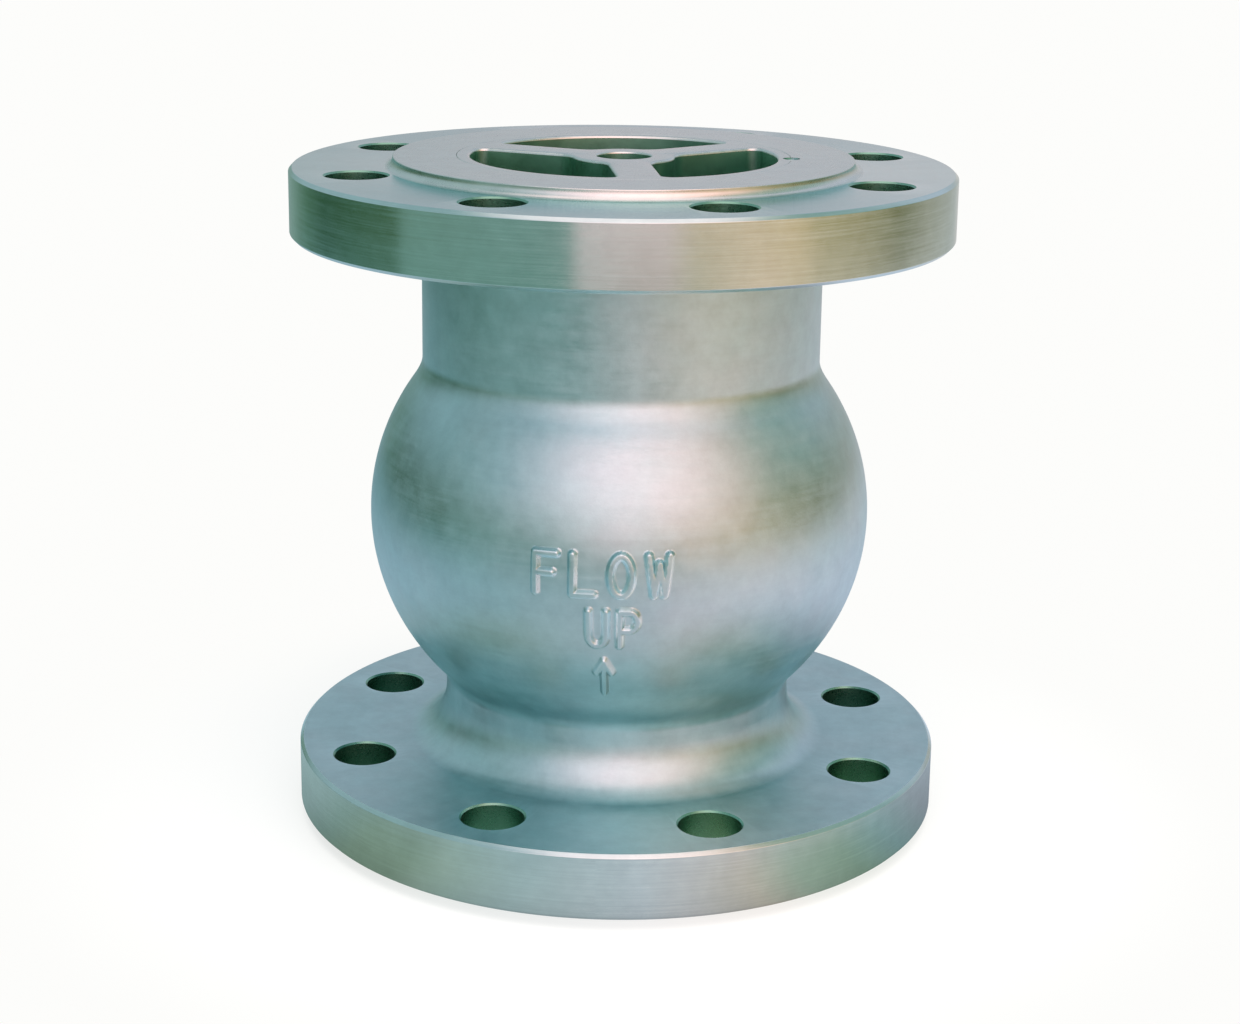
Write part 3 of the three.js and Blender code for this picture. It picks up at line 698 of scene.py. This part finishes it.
def body_finish(centre, normal):
    """Which of the body's materials a face has: 0 outside as cast and blasted, 1 turned rims, faces and
    bores, 2 as cast inside, rough, with painted shade in its dark colour, 3 ground raised faces, with a
    painted warm reflection in their colour, 4 drilled holes, with painted shade in their dark colour."""
    radius, z = math.hypot(centre.x, centre.y) / MM, centre.z / MM
    lower_face, upper_face = body_at.bottom + FACE_HEIGHT, body_at.top - FACE_HEIGHT
    cast_bottom, cast_top, thinnest_wall = 47.0, 179.0, 3.0
    if radius < FACE_RADIUS + FACE_ROOT and (z < lower_face - 0.2 or z > upper_face + 0.02):
        return 3
    in_plate = z < lower_face + PLATE + 0.5 or z > upper_face - PLATE - 0.5
    if in_plate and abs(radius - BOLT_CIRCLE) < BOLT_RADIUS + 1 and abs(normal.z) < 0.9:
        return 4
    rim = radius > body_at.radius - FLANGE_CHAMFER - 0.1
    face = z < lower_face + 0.5 or z > upper_face - 0.5
    bore = radius < SEAT_RECESS + 0.8 and (z < cast_bottom + 3 or z > cast_top - 1)
    if rim or face or bore:
        return 1
    return 2 if cast_bottom < z < cast_top and radius < waist(z) - thinnest_wall else 0


def valve_body():
    made = raw_object("body_casting", lathe(body_outline(), 180))
    screws = ("spider_lock_screw", *SEAT_SCREWS)
    carve(made, together([bolt_hole_cutters(), *map(screw_seat, screws)]))
    emboss(made.data)
    for material in (cast_stainless, turned_stainless, cast_inside_painted_shade, ground_stainless_painted_reflection, drilled_stainless_painted_shade):
        made.data.materials.append(material)
    for face in made.data.polygons:
        face.material_index = body_finish(face.center, face.normal)
    finish_piece(made, "valve_body", "housing")


valve_body()

# ---- outlet guide spider

WINDOW_RADIUS = 45.0
HUB_RADIUS = 15.0
SPOKE_WIDTH = 12.5
RIM_FILLET = 3.0
HUB_FILLET = 7.0
SPOKE_ANGLE = 9.0


def arc(centre, radius, start, end, count):
    """Points of an arc from one direction to another, the short way round."""
    turn = (end - start + math.pi) % (2 * math.pi) - math.pi
    angles = start + turn * np.linspace(0, 1, count)
    return np.c_[centre[0] + radius * np.cos(angles), centre[1] + radius * np.sin(angles)]


def window_outline(grow):
    """A window between two spokes, centred on +Y, and wider all round by grow."""
    half = math.pi / 3
    along = np.array([math.sin(half), math.cos(half)])
    inward = np.array([-along[1], along[0]])

    def fillet_centre(distance, fillet):
        offset = SPOKE_WIDTH / 2 + fillet
        return along * math.sqrt(distance**2 - offset**2) + inward * offset

    outer = fillet_centre(WINDOW_RADIUS - RIM_FILLET, RIM_FILLET)
    inner = fillet_centre(HUB_RADIUS + HUB_FILLET, HUB_FILLET)
    to_spoke = math.atan2(-inward[1], -inward[0])
    rim = math.atan2(outer[1], outer[0])
    hub = math.atan2(inner[1], inner[0])
    right = [
        arc((0, 0), HUB_RADIUS - grow, math.pi / 2, hub, 10),
        arc(inner, HUB_FILLET + grow, hub + math.pi, to_spoke, 12),
        arc(outer, RIM_FILLET + grow, to_spoke, rim, 10),
        arc((0, 0), WINDOW_RADIUS + grow, rim, math.pi / 2, 24),
    ]
    right = np.concatenate([right[0], right[1][1:], right[2], right[3][1:]])
    left = right[-2:0:-1] * (-1, 1)
    return np.concatenate([right, left])


def guide_spider():
    at = spider_at
    seat, bush_top = at.top - SPIDER_DEPTH, at.top - HUB_THICKNESS
    bore, tube, hub_foot, edge = 8.0, 13.2, 18.0, 0.8
    groove, groove_low, groove_high = 10.75, at.bottom + 1.5, at.bottom + 3.25
    outline = rounded(
        [
            (at.radius - 0.8, seat, 0.2), (at.radius, seat + 0.8, 0.2),
            *column(at.radius, seat + 1.5, at.top - 1.5, 0.25),
            (at.radius, at.top, 0.12), (bore, at.top, 0.6),
            (bore, bush_top, 0.2), (BUSH_RADIUS, bush_top, 0.3),
            (BUSH_RADIUS, groove_high, 0.1), (groove, groove_high, 0.1),
            (groove, groove_low, 0.1), (BUSH_RADIUS, groove_low, 0.1),
            (BUSH_RADIUS, at.bottom, 0.3), (tube - 0.75, at.bottom, 0.2),
            (tube, at.bottom + 0.75, 0.3), (tube, seat - 2, 0.4),
            (hub_foot, seat - 2, 0.3), (WINDOW_RADIUS, seat + 2, 0.6),
            (WINDOW_RADIUS + 1, seat, 0.3),
        ]
    )
    points, faces = lathe(outline, 192)
    points = threaded(points, at.radius, seat + 1, at.top - 1.5, 1.5, 0.7)
    made = raw_object("guide_spider_part", (points, faces))
    heights = [seat - 14, at.top - edge, at.top - 0.45, at.top - 0.15, at.top, at.top + 3]
    grows = [0, 0, 0.1, 0.35, edge, edge]
    window = prism([window_outline(g) for g in grows], heights)
    cutters = [moved(window, turn=180 + SPOKE_ANGLE + 120 * (i + 0.5)) for i in range(3)]
    carve(made, together([*cutters, screw_seat("spider_lock_screw")]))
    # Steep walls below the top edge take the dark green window colour, which is painted shade.
    made.data.materials.append(ground_stainless_painted_reflection)
    made.data.materials.append(window_stainless_painted_shade)
    for face in made.data.polygons:
        face.material_index = int(abs(face.normal.z) < 0.5 and face.center.z / MM < at.top - edge)
    finish_piece(made, "guide_spider", "housing")


guide_spider()

# ---- small fixed pieces


def turned_piece(node, name, corners, body, material, columns=144):
    made = raw_object(name, lathe(rounded(corners), columns))
    finish_piece(made, node, body, material)


def guide_bush(node, name):
    at = extent(node)
    inside = STEM_RADIUS + 0.1
    corners = [
        (inside, at.bottom, 0.3), (at.radius - 0.75, at.bottom, 0.2),
        (at.radius, at.bottom + 0.75, 0.2), (at.radius, at.top - 0.75, 0.2),
        (at.radius - 0.75, at.top, 0.2), (inside, at.top, 0.3),
        (inside, at.z + 1.2, 0.2), (inside + 0.6, at.z + 0.6, 0.3),
        (inside + 0.6, at.z - 0.6, 0.3), (inside, at.z - 1.2, 0.2),
    ]
    turned_piece(node, name, corners, "housing", bronze, 72)


def bush_snap_ring():
    at = extent("bush_snap_ring")
    wire = (at.top - at.bottom) / 2
    angles = np.linspace(0.4, 2 * math.pi - 0.4, 120) + math.pi
    radius = at.radius - wire + 0.1
    path = np.c_[radius * np.sin(angles), -radius * np.cos(angles), np.full(len(angles), at.z)]
    made = raw_object("snap_ring", sweep(path, wire, 12))
    finish_piece(made, "bush_snap_ring", "housing", spring_steel, weighted=False)


def grub_screw(node, name, socket, pitch):
    at = extent(node)
    depth = 0.35 * pitch
    corners = [
        (0, at.bottom, 0), (at.radius - 0.5, at.bottom, 0.1),
        (at.radius - 0.1, at.bottom + 0.5, 0.1),
        *column(at.radius, at.bottom + 0.6, at.top - 0.4, pitch / 7),
        (at.radius - 0.25, at.top, 0.08), (0, at.top, 0),
    ]
    points, faces = lathe(rounded(corners), 48)
    points = threaded(points, at.radius, at.bottom + 0.5, at.top - 0.3, pitch, depth)
    made = raw_object(name, (points, faces))
    chamfer = 0.2
    reach = socket / math.sqrt(3)
    heights = [at.z, at.top - chamfer, at.top, at.top + 1]
    key = prism([polygon(reach + g, 6) for g in (0, 0, chamfer, chamfer)], heights)
    carve(made, key)
    made.data.transform(Matrix.Translation((at.x * MM, at.y * MM, 0)))
    finish_piece(made, node, "housing", fastener_steel)


def seat_ring():
    at = seat_at
    thread_top = at.top - 6
    corners = [
        (PORT_RADIUS + 1, at.bottom, 0.3), (SEAT_THREAD - 1, at.bottom, 0.2),
        (SEAT_THREAD - 0.2, at.bottom + 0.9, 0.2),
        *column(SEAT_THREAD, at.bottom + 1.2, thread_top - 1, 0.27),
        (SEAT_THREAD, thread_top, 0.2), (at.radius, thread_top, 0.3),
        (at.radius, at.top - 1.5, 0.3), (SEAT_LIP, at.top - 1.5, 0.3),
        (SEAT_LIP, at.top, 0.25), (PORT_RADIUS + 1, at.top, 0.25),
        (PORT_RADIUS, at.top - 2.5, 0.6), (PORT_RADIUS, at.bottom + 1, 0.4),
    ]
    points, faces = lathe(rounded(corners), 180)
    points = threaded(points, SEAT_THREAD, at.bottom + 1, thread_top - 0.6, 1.6, 0.8)
    made = raw_object("seat_ring_part", (points, faces))
    notches = [
        moved(block((44.5, 49.5), (-3.5, 3.5), (at.top - 4, at.top)), turn=quarter)
        for quarter in (45, 135, 225, 315)
    ]
    carve(made, together([*notches, *map(screw_seat, SEAT_SCREWS)]))
    finish_piece(made, "seat_ring", "housing", milled_stainless)


def washer(node, name, inside, body, material, edge=0.25):
    at = extent(node)
    corners = [
        (inside, at.bottom, edge),
        (at.radius, at.bottom, edge),
        (at.radius, at.top, edge),
        (inside, at.top, edge),
    ]
    turned_piece(node, name, corners, body, material, 96)


guide_bush("upper_guide_bush", "upper_bush")
guide_bush("lower_guide_bush", "lower_bush")
bush_snap_ring()
grub_screw("spider_lock_screw", "spider_grub_screw", 2.5, 0.8)
grub_screw("seat_lock_screw_front", "seat_grub_screw_front", 1.5, 0.6)
grub_screw("seat_lock_screw_back", "seat_grub_screw_back", 1.5, 0.6)
seat_ring()
washer("seat_gasket", "seat_gasket_ring", SEAT_THREAD + 0.5, "housing", gasket_fibre, 0.15)
washer("upper_spring_washer", "spring_washer_top", SPRING_WASHER_BORE, "housing", turned_stainless)
washer(
    "lower_spring_washer", "spring_washer_bottom", SPRING_WASHER_BORE, "spring_seat", turned_stainless
)

# ---- closing spring


def closing_spring():
    """A wire wound with one closed turn at each end, its end faces ground flat."""
    at = extent("closing_spring")
    wire, turns, closed, steps_per_turn = 1.2, 9.0, 1.0, 56
    end_rise, inset = 2.25 * wire, 0.6 * wire
    mean = at.radius - wire
    turn = np.linspace(0, turns, int(turns * steps_per_turn) + 1)
    ends = np.minimum(turn, closed) + np.maximum(turn - turns + closed, 0)
    bottom, top = at.bottom + inset, at.top - inset
    active_rise = (top - bottom - 2 * closed * end_rise) / (turns - 2 * closed)
    z = bottom + ends * end_rise + (turn - ends) * active_rise
    angles = turn * 2 * math.pi
    path = np.c_[mean * np.sin(angles), -mean * np.cos(angles), z]
    points, faces = sweep(path, wire, 14)
    points[:, 2] = np.clip(points[:, 2], at.bottom, at.top)
    made = raw_object("closing_spring_wire", (points, faces))
    finish_piece(made, "closing_spring", "housing", spring_steel, weighted=False)
    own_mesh(made)


closing_spring()

# ---- disc assembly


def valve_disc():
    at = disc_at
    under, shoulder = at.bottom + 2.25, at.top - 10
    recess, boss, ring_groove = 44.9, 13.0, 8.75
    corners = [
        (STEM_BORE, under, 0.3), (recess, under, 0.2),
        (recess, at.bottom, 0.15), (at.radius, at.bottom, 0.3),
        (at.radius, under + 5, 1.2), (at.radius - 2.5, under + 7.5, 1.5),
        (19.0, shoulder, 0.6), (boss, shoulder, 0.3),
        (boss, at.top - 1, 0.3), (boss - 1, at.top, 0.3),
        (ring_groove, at.top, 0.3), (ring_groove, at.top - 2.5, 0.3),
        (STEM_BORE, at.top - 2.5, 0.3),
    ]
    turned_piece("valve_disc", "closing_disc", corners, "disc_assembly", turned_stainless)


def disc_seal():
    at = extent("disc_seal_ring")
    clamped, step = 40.5, at.bottom + 1.25
    corners = [
        (SEAL_BORE, step, 0.2), (clamped, step, 0.2),
        (clamped, at.bottom, 0.3), (at.radius, at.bottom, 0.4),
        (at.radius, at.top, 0.2), (SEAL_BORE, at.top, 0.2),
    ]
    turned_piece("disc_seal_ring", "seal_ring", corners, "disc_assembly", ptfe)


def seal_retainer():
    at = extent("seal_retainer")
    spigot, clamp = SEAL_BORE - 0.25, at.bottom + 3.5
    corners = [
        (STEM_BORE, at.bottom, 0.3), (at.radius - 1.5, at.bottom, 0.4),
        (at.radius, at.bottom + 1.5, 0.4), (at.radius, clamp, 0.2),
        (spigot, clamp, 0.2), (spigot, at.top, 0.3),
        (STEM_BORE, at.top, 0.3),
    ]
    turned_piece("seal_retainer", "retainer_plate", corners, "disc_assembly", turned_stainless)


def stem():
    at = extent("stem")
    hub_top, collar = disc_at.top, at.radius
    collar_top, thread_top, pin_hole = hub_top + 17.75, 51.0, 1.75
    corners = [
        (0, at.bottom, 0), (4.8, at.bottom, 0.3),
        (5.9, at.bottom + 1.1, 0.3),
        *column(STEM_THREAD, at.bottom + 1.5, thread_top, 0.25),
        (STEM_THREAD, hub_top, 0.4), (collar, hub_top, 0.5),
        (collar, collar_top - 1, 0.3), (collar - 1, collar_top, 0.3),
        (STEM_RADIUS, collar_top, 0.5), (STEM_RADIUS, at.top - 1.5, 0.4),
        (5.5, at.top, 0.4), (0, at.top, 0),
    ]
    points, faces = lathe(rounded(corners), 72)
    points = threaded(points, STEM_THREAD, at.bottom + 1.2, thread_top, 1.75, 0.9)
    made = raw_object("valve_stem", (points, faces))
    flats = [block((-15, 15), sides, (hub_top + 3, hub_top + 13)) for sides in ((8.5, 14), (-14, -8.5))]
    drill = moved(prism([polygon(pin_hole, 24, 4)] * 2, (-10, 10)), turn=90, axis="Y")
    carve(made, together([*flats, moved(drill, (0, 0, extent("split_pin").z))]))
    finish_piece(made, "stem", "disc_assembly", turned_stainless)


def stem_o_ring():
    at = extent("stem_seal_ring")
    wire = (at.top - at.bottom) / 2
    angles = np.linspace(0, 2 * math.pi, 24, endpoint=False)
    outline = np.c_[at.radius - wire + wire * np.cos(angles), at.z + wire * np.sin(angles)]
    made = raw_object("o_ring", lathe(outline, 72))
    finish_piece(made, "stem_seal_ring", "disc_assembly", seal_rubber, weighted=False)


def castle_nut():
    """Hexagon with turned chamfers, a slotted crown below it and a plain bore."""
    at = extent("castle_nut")
    across_flats, shoulder, crown, slot, flat = 18.0, at.bottom + 5, 8.25, 1.8, 8.6
    low, corner = at.bottom - 1, across_flats / math.sqrt(3)
    made = raw_object("slotted_nut", prism([polygon(corner, 6)] * 2, (shoulder, at.top)))
    turned = rounded(
        [
            (0, shoulder - 0.1, 0), (flat, shoulder - 0.1, 0),
            (corner + 0.1, shoulder + 1.1, 0), (corner + 0.1, at.top - 1.1, 0),
            (flat, at.top + 0.1, 0), (0, at.top + 0.1, 0),
        ]
    )
    carve(made, lathe(turned, 72), "INTERSECT")
    crown_outline = rounded(
        [(0, at.bottom, 0), (crown, at.bottom, 0.5), (crown, shoulder + 0.5, 0), (0, shoulder + 0.5, 0)]
    )
    carve(made, lathe(crown_outline, 72), "UNION")
    for turn in (0, 60, 120):
        carve(made, moved(block((-12, 12), (-slot, slot), (low, shoulder - 0.5)), turn=turn))
    bore = rounded([(0, low, 0), *column(STEM_BORE, low, at.top + 1, 0.25), (0, at.top + 1, 0)])
    carve(made, lathe(bore, 48))
    finish_piece(made, "castle_nut", "disc_assembly", fastener_steel)


def split_pin():
    """One wire: in through the stem, round an eye and back, with both legs bent apart."""
    at = extent("split_pin")
    wire, eye, reach = 0.58, 1.9, 9.6
    eye_x = reach + 1.6
    loop = np.radians(np.linspace(160, -160, 40))
    upper = [(-reach - 0.2, 4.2), (-reach - 0.1, 2.6), (-reach + 0.2, 1.4), (-reach + 1.0, 0.75)]
    straight = [(x, 0.62) for x in np.linspace(-reach + 2, reach - 1.2, 12)]
    path = upper + straight + [(eye_x + eye * math.cos(a), eye * math.sin(a)) for a in loop]
    path += [(x, -y) for x, y in reversed(upper + straight)]
    path = np.array([(x, y, at.z) for x, y in path])
    fine = np.linspace(0, len(path) - 1, 4 * len(path))
    smooth = np.c_[[np.interp(fine, np.arange(len(path)), path[:, k]) for k in range(3)]].T
    made = raw_object("split_pin_wire", sweep(smooth, wire, 12, 1.8))
    finish_piece(made, "split_pin", "disc_assembly", fastener_steel, weighted=False)


valve_disc()
disc_seal()
seal_retainer()
stem()
stem_o_ring()
washer("retainer_washer", "plain_washer", STEM_BORE, "disc_assembly", fastener_steel)
castle_nut()
split_pin()

# ---- studio

PAPER = (0.98, 0.98, 0.965)
CAMERA_SIDE = 3.0  # degrees from the front towards +X

# What the metal mirrors, as colours at directions round the valve, in degrees from the camera.
# A pale window stands behind the camera, with teal walls to its left and warm ones to its right.
AT_EYE_LEVEL = [
    (-180, 0.82, 0.72, 0.74), (-166, 0.24, 0.36, 0.34),
    (-150, 0.18, 0.32, 0.26), (-135, 0.08, 0.19, 0.11),
    (-120, 0.02, 0.08, 0.02), (-81, 0.05, 0.12, 0.03),
    (-77, 0.18, 0.34, 0.26), (-30, 0.21, 0.38, 0.33),
    (-18, 0.28, 0.44, 0.40), (-13, 0.98, 0.84, 0.84),
    (14, 1.05, 0.83, 0.81), (24, 0.86, 0.66, 0.45),
    (60, 0.72, 0.55, 0.25), (68, 0.45, 0.39, 0.14),
    (88, 0.32, 0.29, 0.09), (106, 0.15, 0.17, 0.04),
    (124, 0.38, 0.40, 0.30), (156, 0.48, 0.52, 0.50),
    (168, 0.66, 0.65, 0.64),
]
ABOVE = [
    (-180, 0.35, 0.49, 0.57), (-150, 0.34, 0.52, 0.56),
    (-115, 0.34, 0.54, 0.58), (-85, 0.29, 0.49, 0.50),
    (-45, 0.45, 0.64, 0.72), (-24, 1.30, 1.22, 1.30),
    (10, 1.82, 1.50, 1.52), (42, 1.50, 1.18, 1.10),
    (62, 0.90, 0.72, 0.58), (74, 0.35, 0.49, 0.39),
    (112, 0.29, 0.49, 0.47), (140, 0.53, 0.65, 0.77),
    (165, 0.40, 0.54, 0.63),
]
# The table top that the valve stands on, as the floor glows with it for the metal to mirror, a painted
# reflection: at its foot, a hand away and further off.
TABLE_AT_FOOT = [
    (-140, 0.36, 0.50, 0.54), (-82, 0.33, 0.49, 0.49),
    (-69, 0.26, 0.41, 0.37), (-58, 0.26, 0.39, 0.30),
    (-45, 0.27, 0.40, 0.31), (-37, 0.38, 0.53, 0.46),
    (-20, 0.44, 0.60, 0.62), (5, 0.62, 0.70, 0.77),
    (15, 0.68, 0.68, 0.70), (28, 0.66, 0.60, 0.52),
    (39, 0.40, 0.53, 0.43), (52, 0.30, 0.45, 0.35),
    (66, 0.28, 0.45, 0.46), (84, 0.35, 0.41, 0.47),
    (150, 0.42, 0.50, 0.58),
]
TABLE_NEAR = [
    (-180, 0.40, 0.57, 0.68), (-100, 0.42, 0.61, 0.71),
    (-40, 0.39, 0.59, 0.66), (-15, 0.44, 0.63, 0.69),
    (15, 0.71, 0.77, 0.85), (30, 0.88, 0.83, 0.93),
    (45, 0.86, 0.83, 0.93), (100, 0.70, 0.81, 0.95),
    (130, 0.60, 0.73, 0.88),
]
TABLE_FAR = [
    (-180, 0.60, 0.64, 0.70), (-140, 0.22, 0.42, 0.47),
    (-100, 0.16, 0.37, 0.36), (-40, 0.15, 0.35, 0.31),
    (-8, 0.0, 0.20, 0.14), (8, 0.0, 0.14, 0.06),
    (22, 0.20, 0.38, 0.32), (45, 0.95, 0.83, 0.75),
    (80, 0.90, 0.85, 0.80), (140, 0.66, 0.72, 0.76),
]
TABLE = [(0.12, TABLE_AT_FOOT), (0.19, TABLE_NEAR), (0.60, TABLE_FAR)]
# How much is left of the surroundings after each mirroring from metal to metal.
SECOND_SIGHT = (0.54, 0.86, 0.86)
# How much brighter the glowing table top gets, a painted reflection, in the upper flange's underside,
# which the globe mirrors.
FLOOR_GLOW = [
    (-180, 1.0, 1.0, 1.0), (-62, 1.0, 1.0, 1.0),
    (-38, 3.4, 2.3, 2.5), (0, 6.0, 3.1, 3.1),
    (48, 6.3, 3.1, 2.8), (72, 3.4, 1.8, 1.5),
    (92, 1.0, 1.0, 1.0),
]


def directions(tree, x, y):
    """Share of a turn at which a direction lies, where one half is towards the camera."""
    angle = tree.math("ARCTAN2", x, tree.math("MULTIPLY", y, -1.0))
    share = tree.math("ADD", tree.math("DIVIDE", angle, 2 * math.pi), 0.5 - CAMERA_SIDE / 360)
    return tree.math("FRACT", tree.math("ADD", share, 1.0))


def round_about(tree, share, colors):
    """A colour ramp that goes once round, through stops (angle, red, green, blue)."""
    stops = [((angle + 180) / 360, color) for angle, *color in colors]
    if stops[0][0] > 0:
        behind = [(a + b) / 2 for a, b in zip(stops[0][1], stops[-1][1])]
        stops.insert(0, (0.0, behind))
    return tree.ramp(share, [*stops, (1.0, stops[0][1])])


def second_sight(tree, color, sky=False):
    """A colour as it is, or dimmer and greener for each further mirroring on the way to it. A
    ray that runs into the sky by itself counts one mirroring too many, so that one is taken off."""
    path = tree.add("LightPath").outputs
    further = tree.math("SUBTRACT", path["Ray Depth"], 1.0)
    if sky:
        bounced = tree.math("MAXIMUM", path["Is Glossy Ray"], path["Is Diffuse Ray"])
        further = tree.math("SUBTRACT", further, bounced)
    further = tree.math("MAXIMUM", further, 0.0)
    kept = {i: tree.math("POWER", share, further) for i, share in enumerate(SECOND_SIGHT)}
    return tree.mix(1.0, color, tree.add("CombineColor", kept).outputs[0], "MULTIPLY")


def studio_world():
    """Soft tinted surroundings for the metal to mirror, and plain paper behind the valve."""
    world = bpy.data.worlds.new("studio")
    bpy.context.scene.world = world
    tree = Tree(world)
    direction = tree.add("TexCoord").outputs["Generated"]
    x, y, z = tree.add("SeparateXYZ", {0: direction}).outputs
    share = directions(tree, x, y)
    level = round_about(tree, share, AT_EYE_LEVEL)
    above = round_about(tree, share, ABOVE)
    upper = tree.mix(tree.remap(z, 0.84, 0.97, smooth=True), above, (1.25, 1.22, 1.25, 1.0))
    around = tree.mix(tree.remap(z, 0.02, 0.31, smooth=True), level, upper)
    around = second_sight(tree, around, sky=True)
    seen = tree.add("LightPath").outputs["Is Camera Ray"]
    light = tree.add("Background", {"Color": around, "Strength": 1.0})
    paper = tree.add("Background", {"Color": (*PAPER, 1.0), "Strength": 1.0})
    both = tree.add("MixShader", {0: seen, 1: light.outputs[0], 2: paper.outputs[0]})
    tree.add("OutputWorld", {"Surface": both.outputs[0]})


def paper_floor():
    """A round pale floor that fades into the paper behind it. To the metal it glows as a tinted table
    top, a painted reflection, dimmed round the valve's foot as painted shade. From below it is clear, so
    that the valve's underside can be looked at."""
    edge, rings, clearance = 0.95, 24, 0.0002
    outline = np.c_[np.linspace(0, edge / MM, rings + 1), np.zeros(rings + 1)]
    floor = raw_object("floor", lathe(outline, 96))
    floor.location.z = cad_box[0][2] - clearance
    material = bpy.data.materials.new("paper_floor")
    tree = Tree(material)
    position = tree.add("TexCoord").outputs["Object"]
    x, y, _ = tree.add("SeparateXYZ", {0: position}).outputs
    radius, _, _ = tree.cylindrical(position)
    lit = tree.add("BsdfDiffuse", {"Color": (0.93, 0.93, 0.92, 1.0)})
    glow = tree.add("Emission", {"Color": (*PAPER, 1.0), "Strength": 1.0})
    fade = tree.remap(radius, 0.10, 0.20, 0.75, 1.0, smooth=True)
    shown = tree.add("MixShader", {0: fade, 1: lit.outputs[0], 2: glow.outputs[0]})
    share = directions(tree, x, y)
    (inner, tinted), *others = [(far, round_about(tree, share, colors)) for far, colors in TABLE]
    for outer, color in others:
        tinted = tree.mix(tree.remap(radius, inner, outer, smooth=True), tinted, color)
        inner = outer
    twice = tree.remap(tree.add("LightPath").outputs["Ray Depth"], 1.0, 2.0)
    glow_color = tree.mix(twice, (1.0, 1.0, 1.0, 1.0), round_about(tree, share, FLOOR_GLOW))
    tinted = tree.mix(1.0, tinted, glow_color, "MULTIPLY")
    # Painted shade: the glow dims close round the valve's foot, where the flange would shade the table
    # top.
    under = tree.remap(radius, 0.09, 0.12, 0.6, 1.0)
    painted_reflection_glow = tree.add("Emission", {"Color": second_sight(tree, tinted), "Strength": under})
    seen = tree.add("LightPath").outputs["Is Camera Ray"]
    both = tree.add("MixShader", {0: seen, 1: painted_reflection_glow.outputs[0], 2: shown.outputs[0]})
    upwards = tree.add("SeparateXYZ", {0: tree.add("NewGeometry").outputs["Incoming"]}).outputs[2]
    below = tree.math("LESS_THAN", upwards, 0.0)
    clear = tree.add("BsdfTransparent")
    whole = tree.add("MixShader", {0: below, 1: both.outputs[0], 2: clear.outputs[0]})
    tree.add("OutputMaterial", {"Surface": whole.outputs[0]})
    floor.data.materials.append(material)


def soft_light(name, place, aim, size, watts, color):
    lamp = bpy.data.lights.new(name, "AREA")
    lamp.shape = "DISK"
    lamp.size = size
    lamp.energy = watts
    lamp.color = color
    made = linked(name, lamp)
    made.location = place
    made.rotation_euler = (Vector(aim) - Vector(place)).to_track_quat("-Z", "Y").to_euler()
    made.visible_glossy = False


def camera():
    """Stands a little to the right of the front and above the valve, and looks down."""
    distance, height = 0.692, 0.2939
    side, pitch, roll = math.radians(CAMERA_SIDE), math.radians(14.593), 0.0136
    data = bpy.data.cameras.new("camera")
    data.lens = 68.78
    data.shift_y = -0.0577
    data.clip_start = 0.01
    made = linked("camera", data)
    turn = Matrix.Rotation(side, 4, "Z") @ Matrix.Rotation(math.pi / 2 - pitch, 4, "X")
    place = Matrix.Translation((distance * math.sin(side), -distance * math.cos(side), height))
    made.matrix_world = place @ turn @ Matrix.Rotation(roll, 4, "Z")
    bpy.context.scene.camera = made


studio_world()
paper_floor()
soft_light("key", (0.15, -0.4, 0.95), (0, 0, 0.1), size=1.0, watts=9.5, color=(1.0, 0.97, 0.95))
camera()
bpy.context.scene.view_settings.view_transform = "Standard"

bpy.context.view_layer.update()
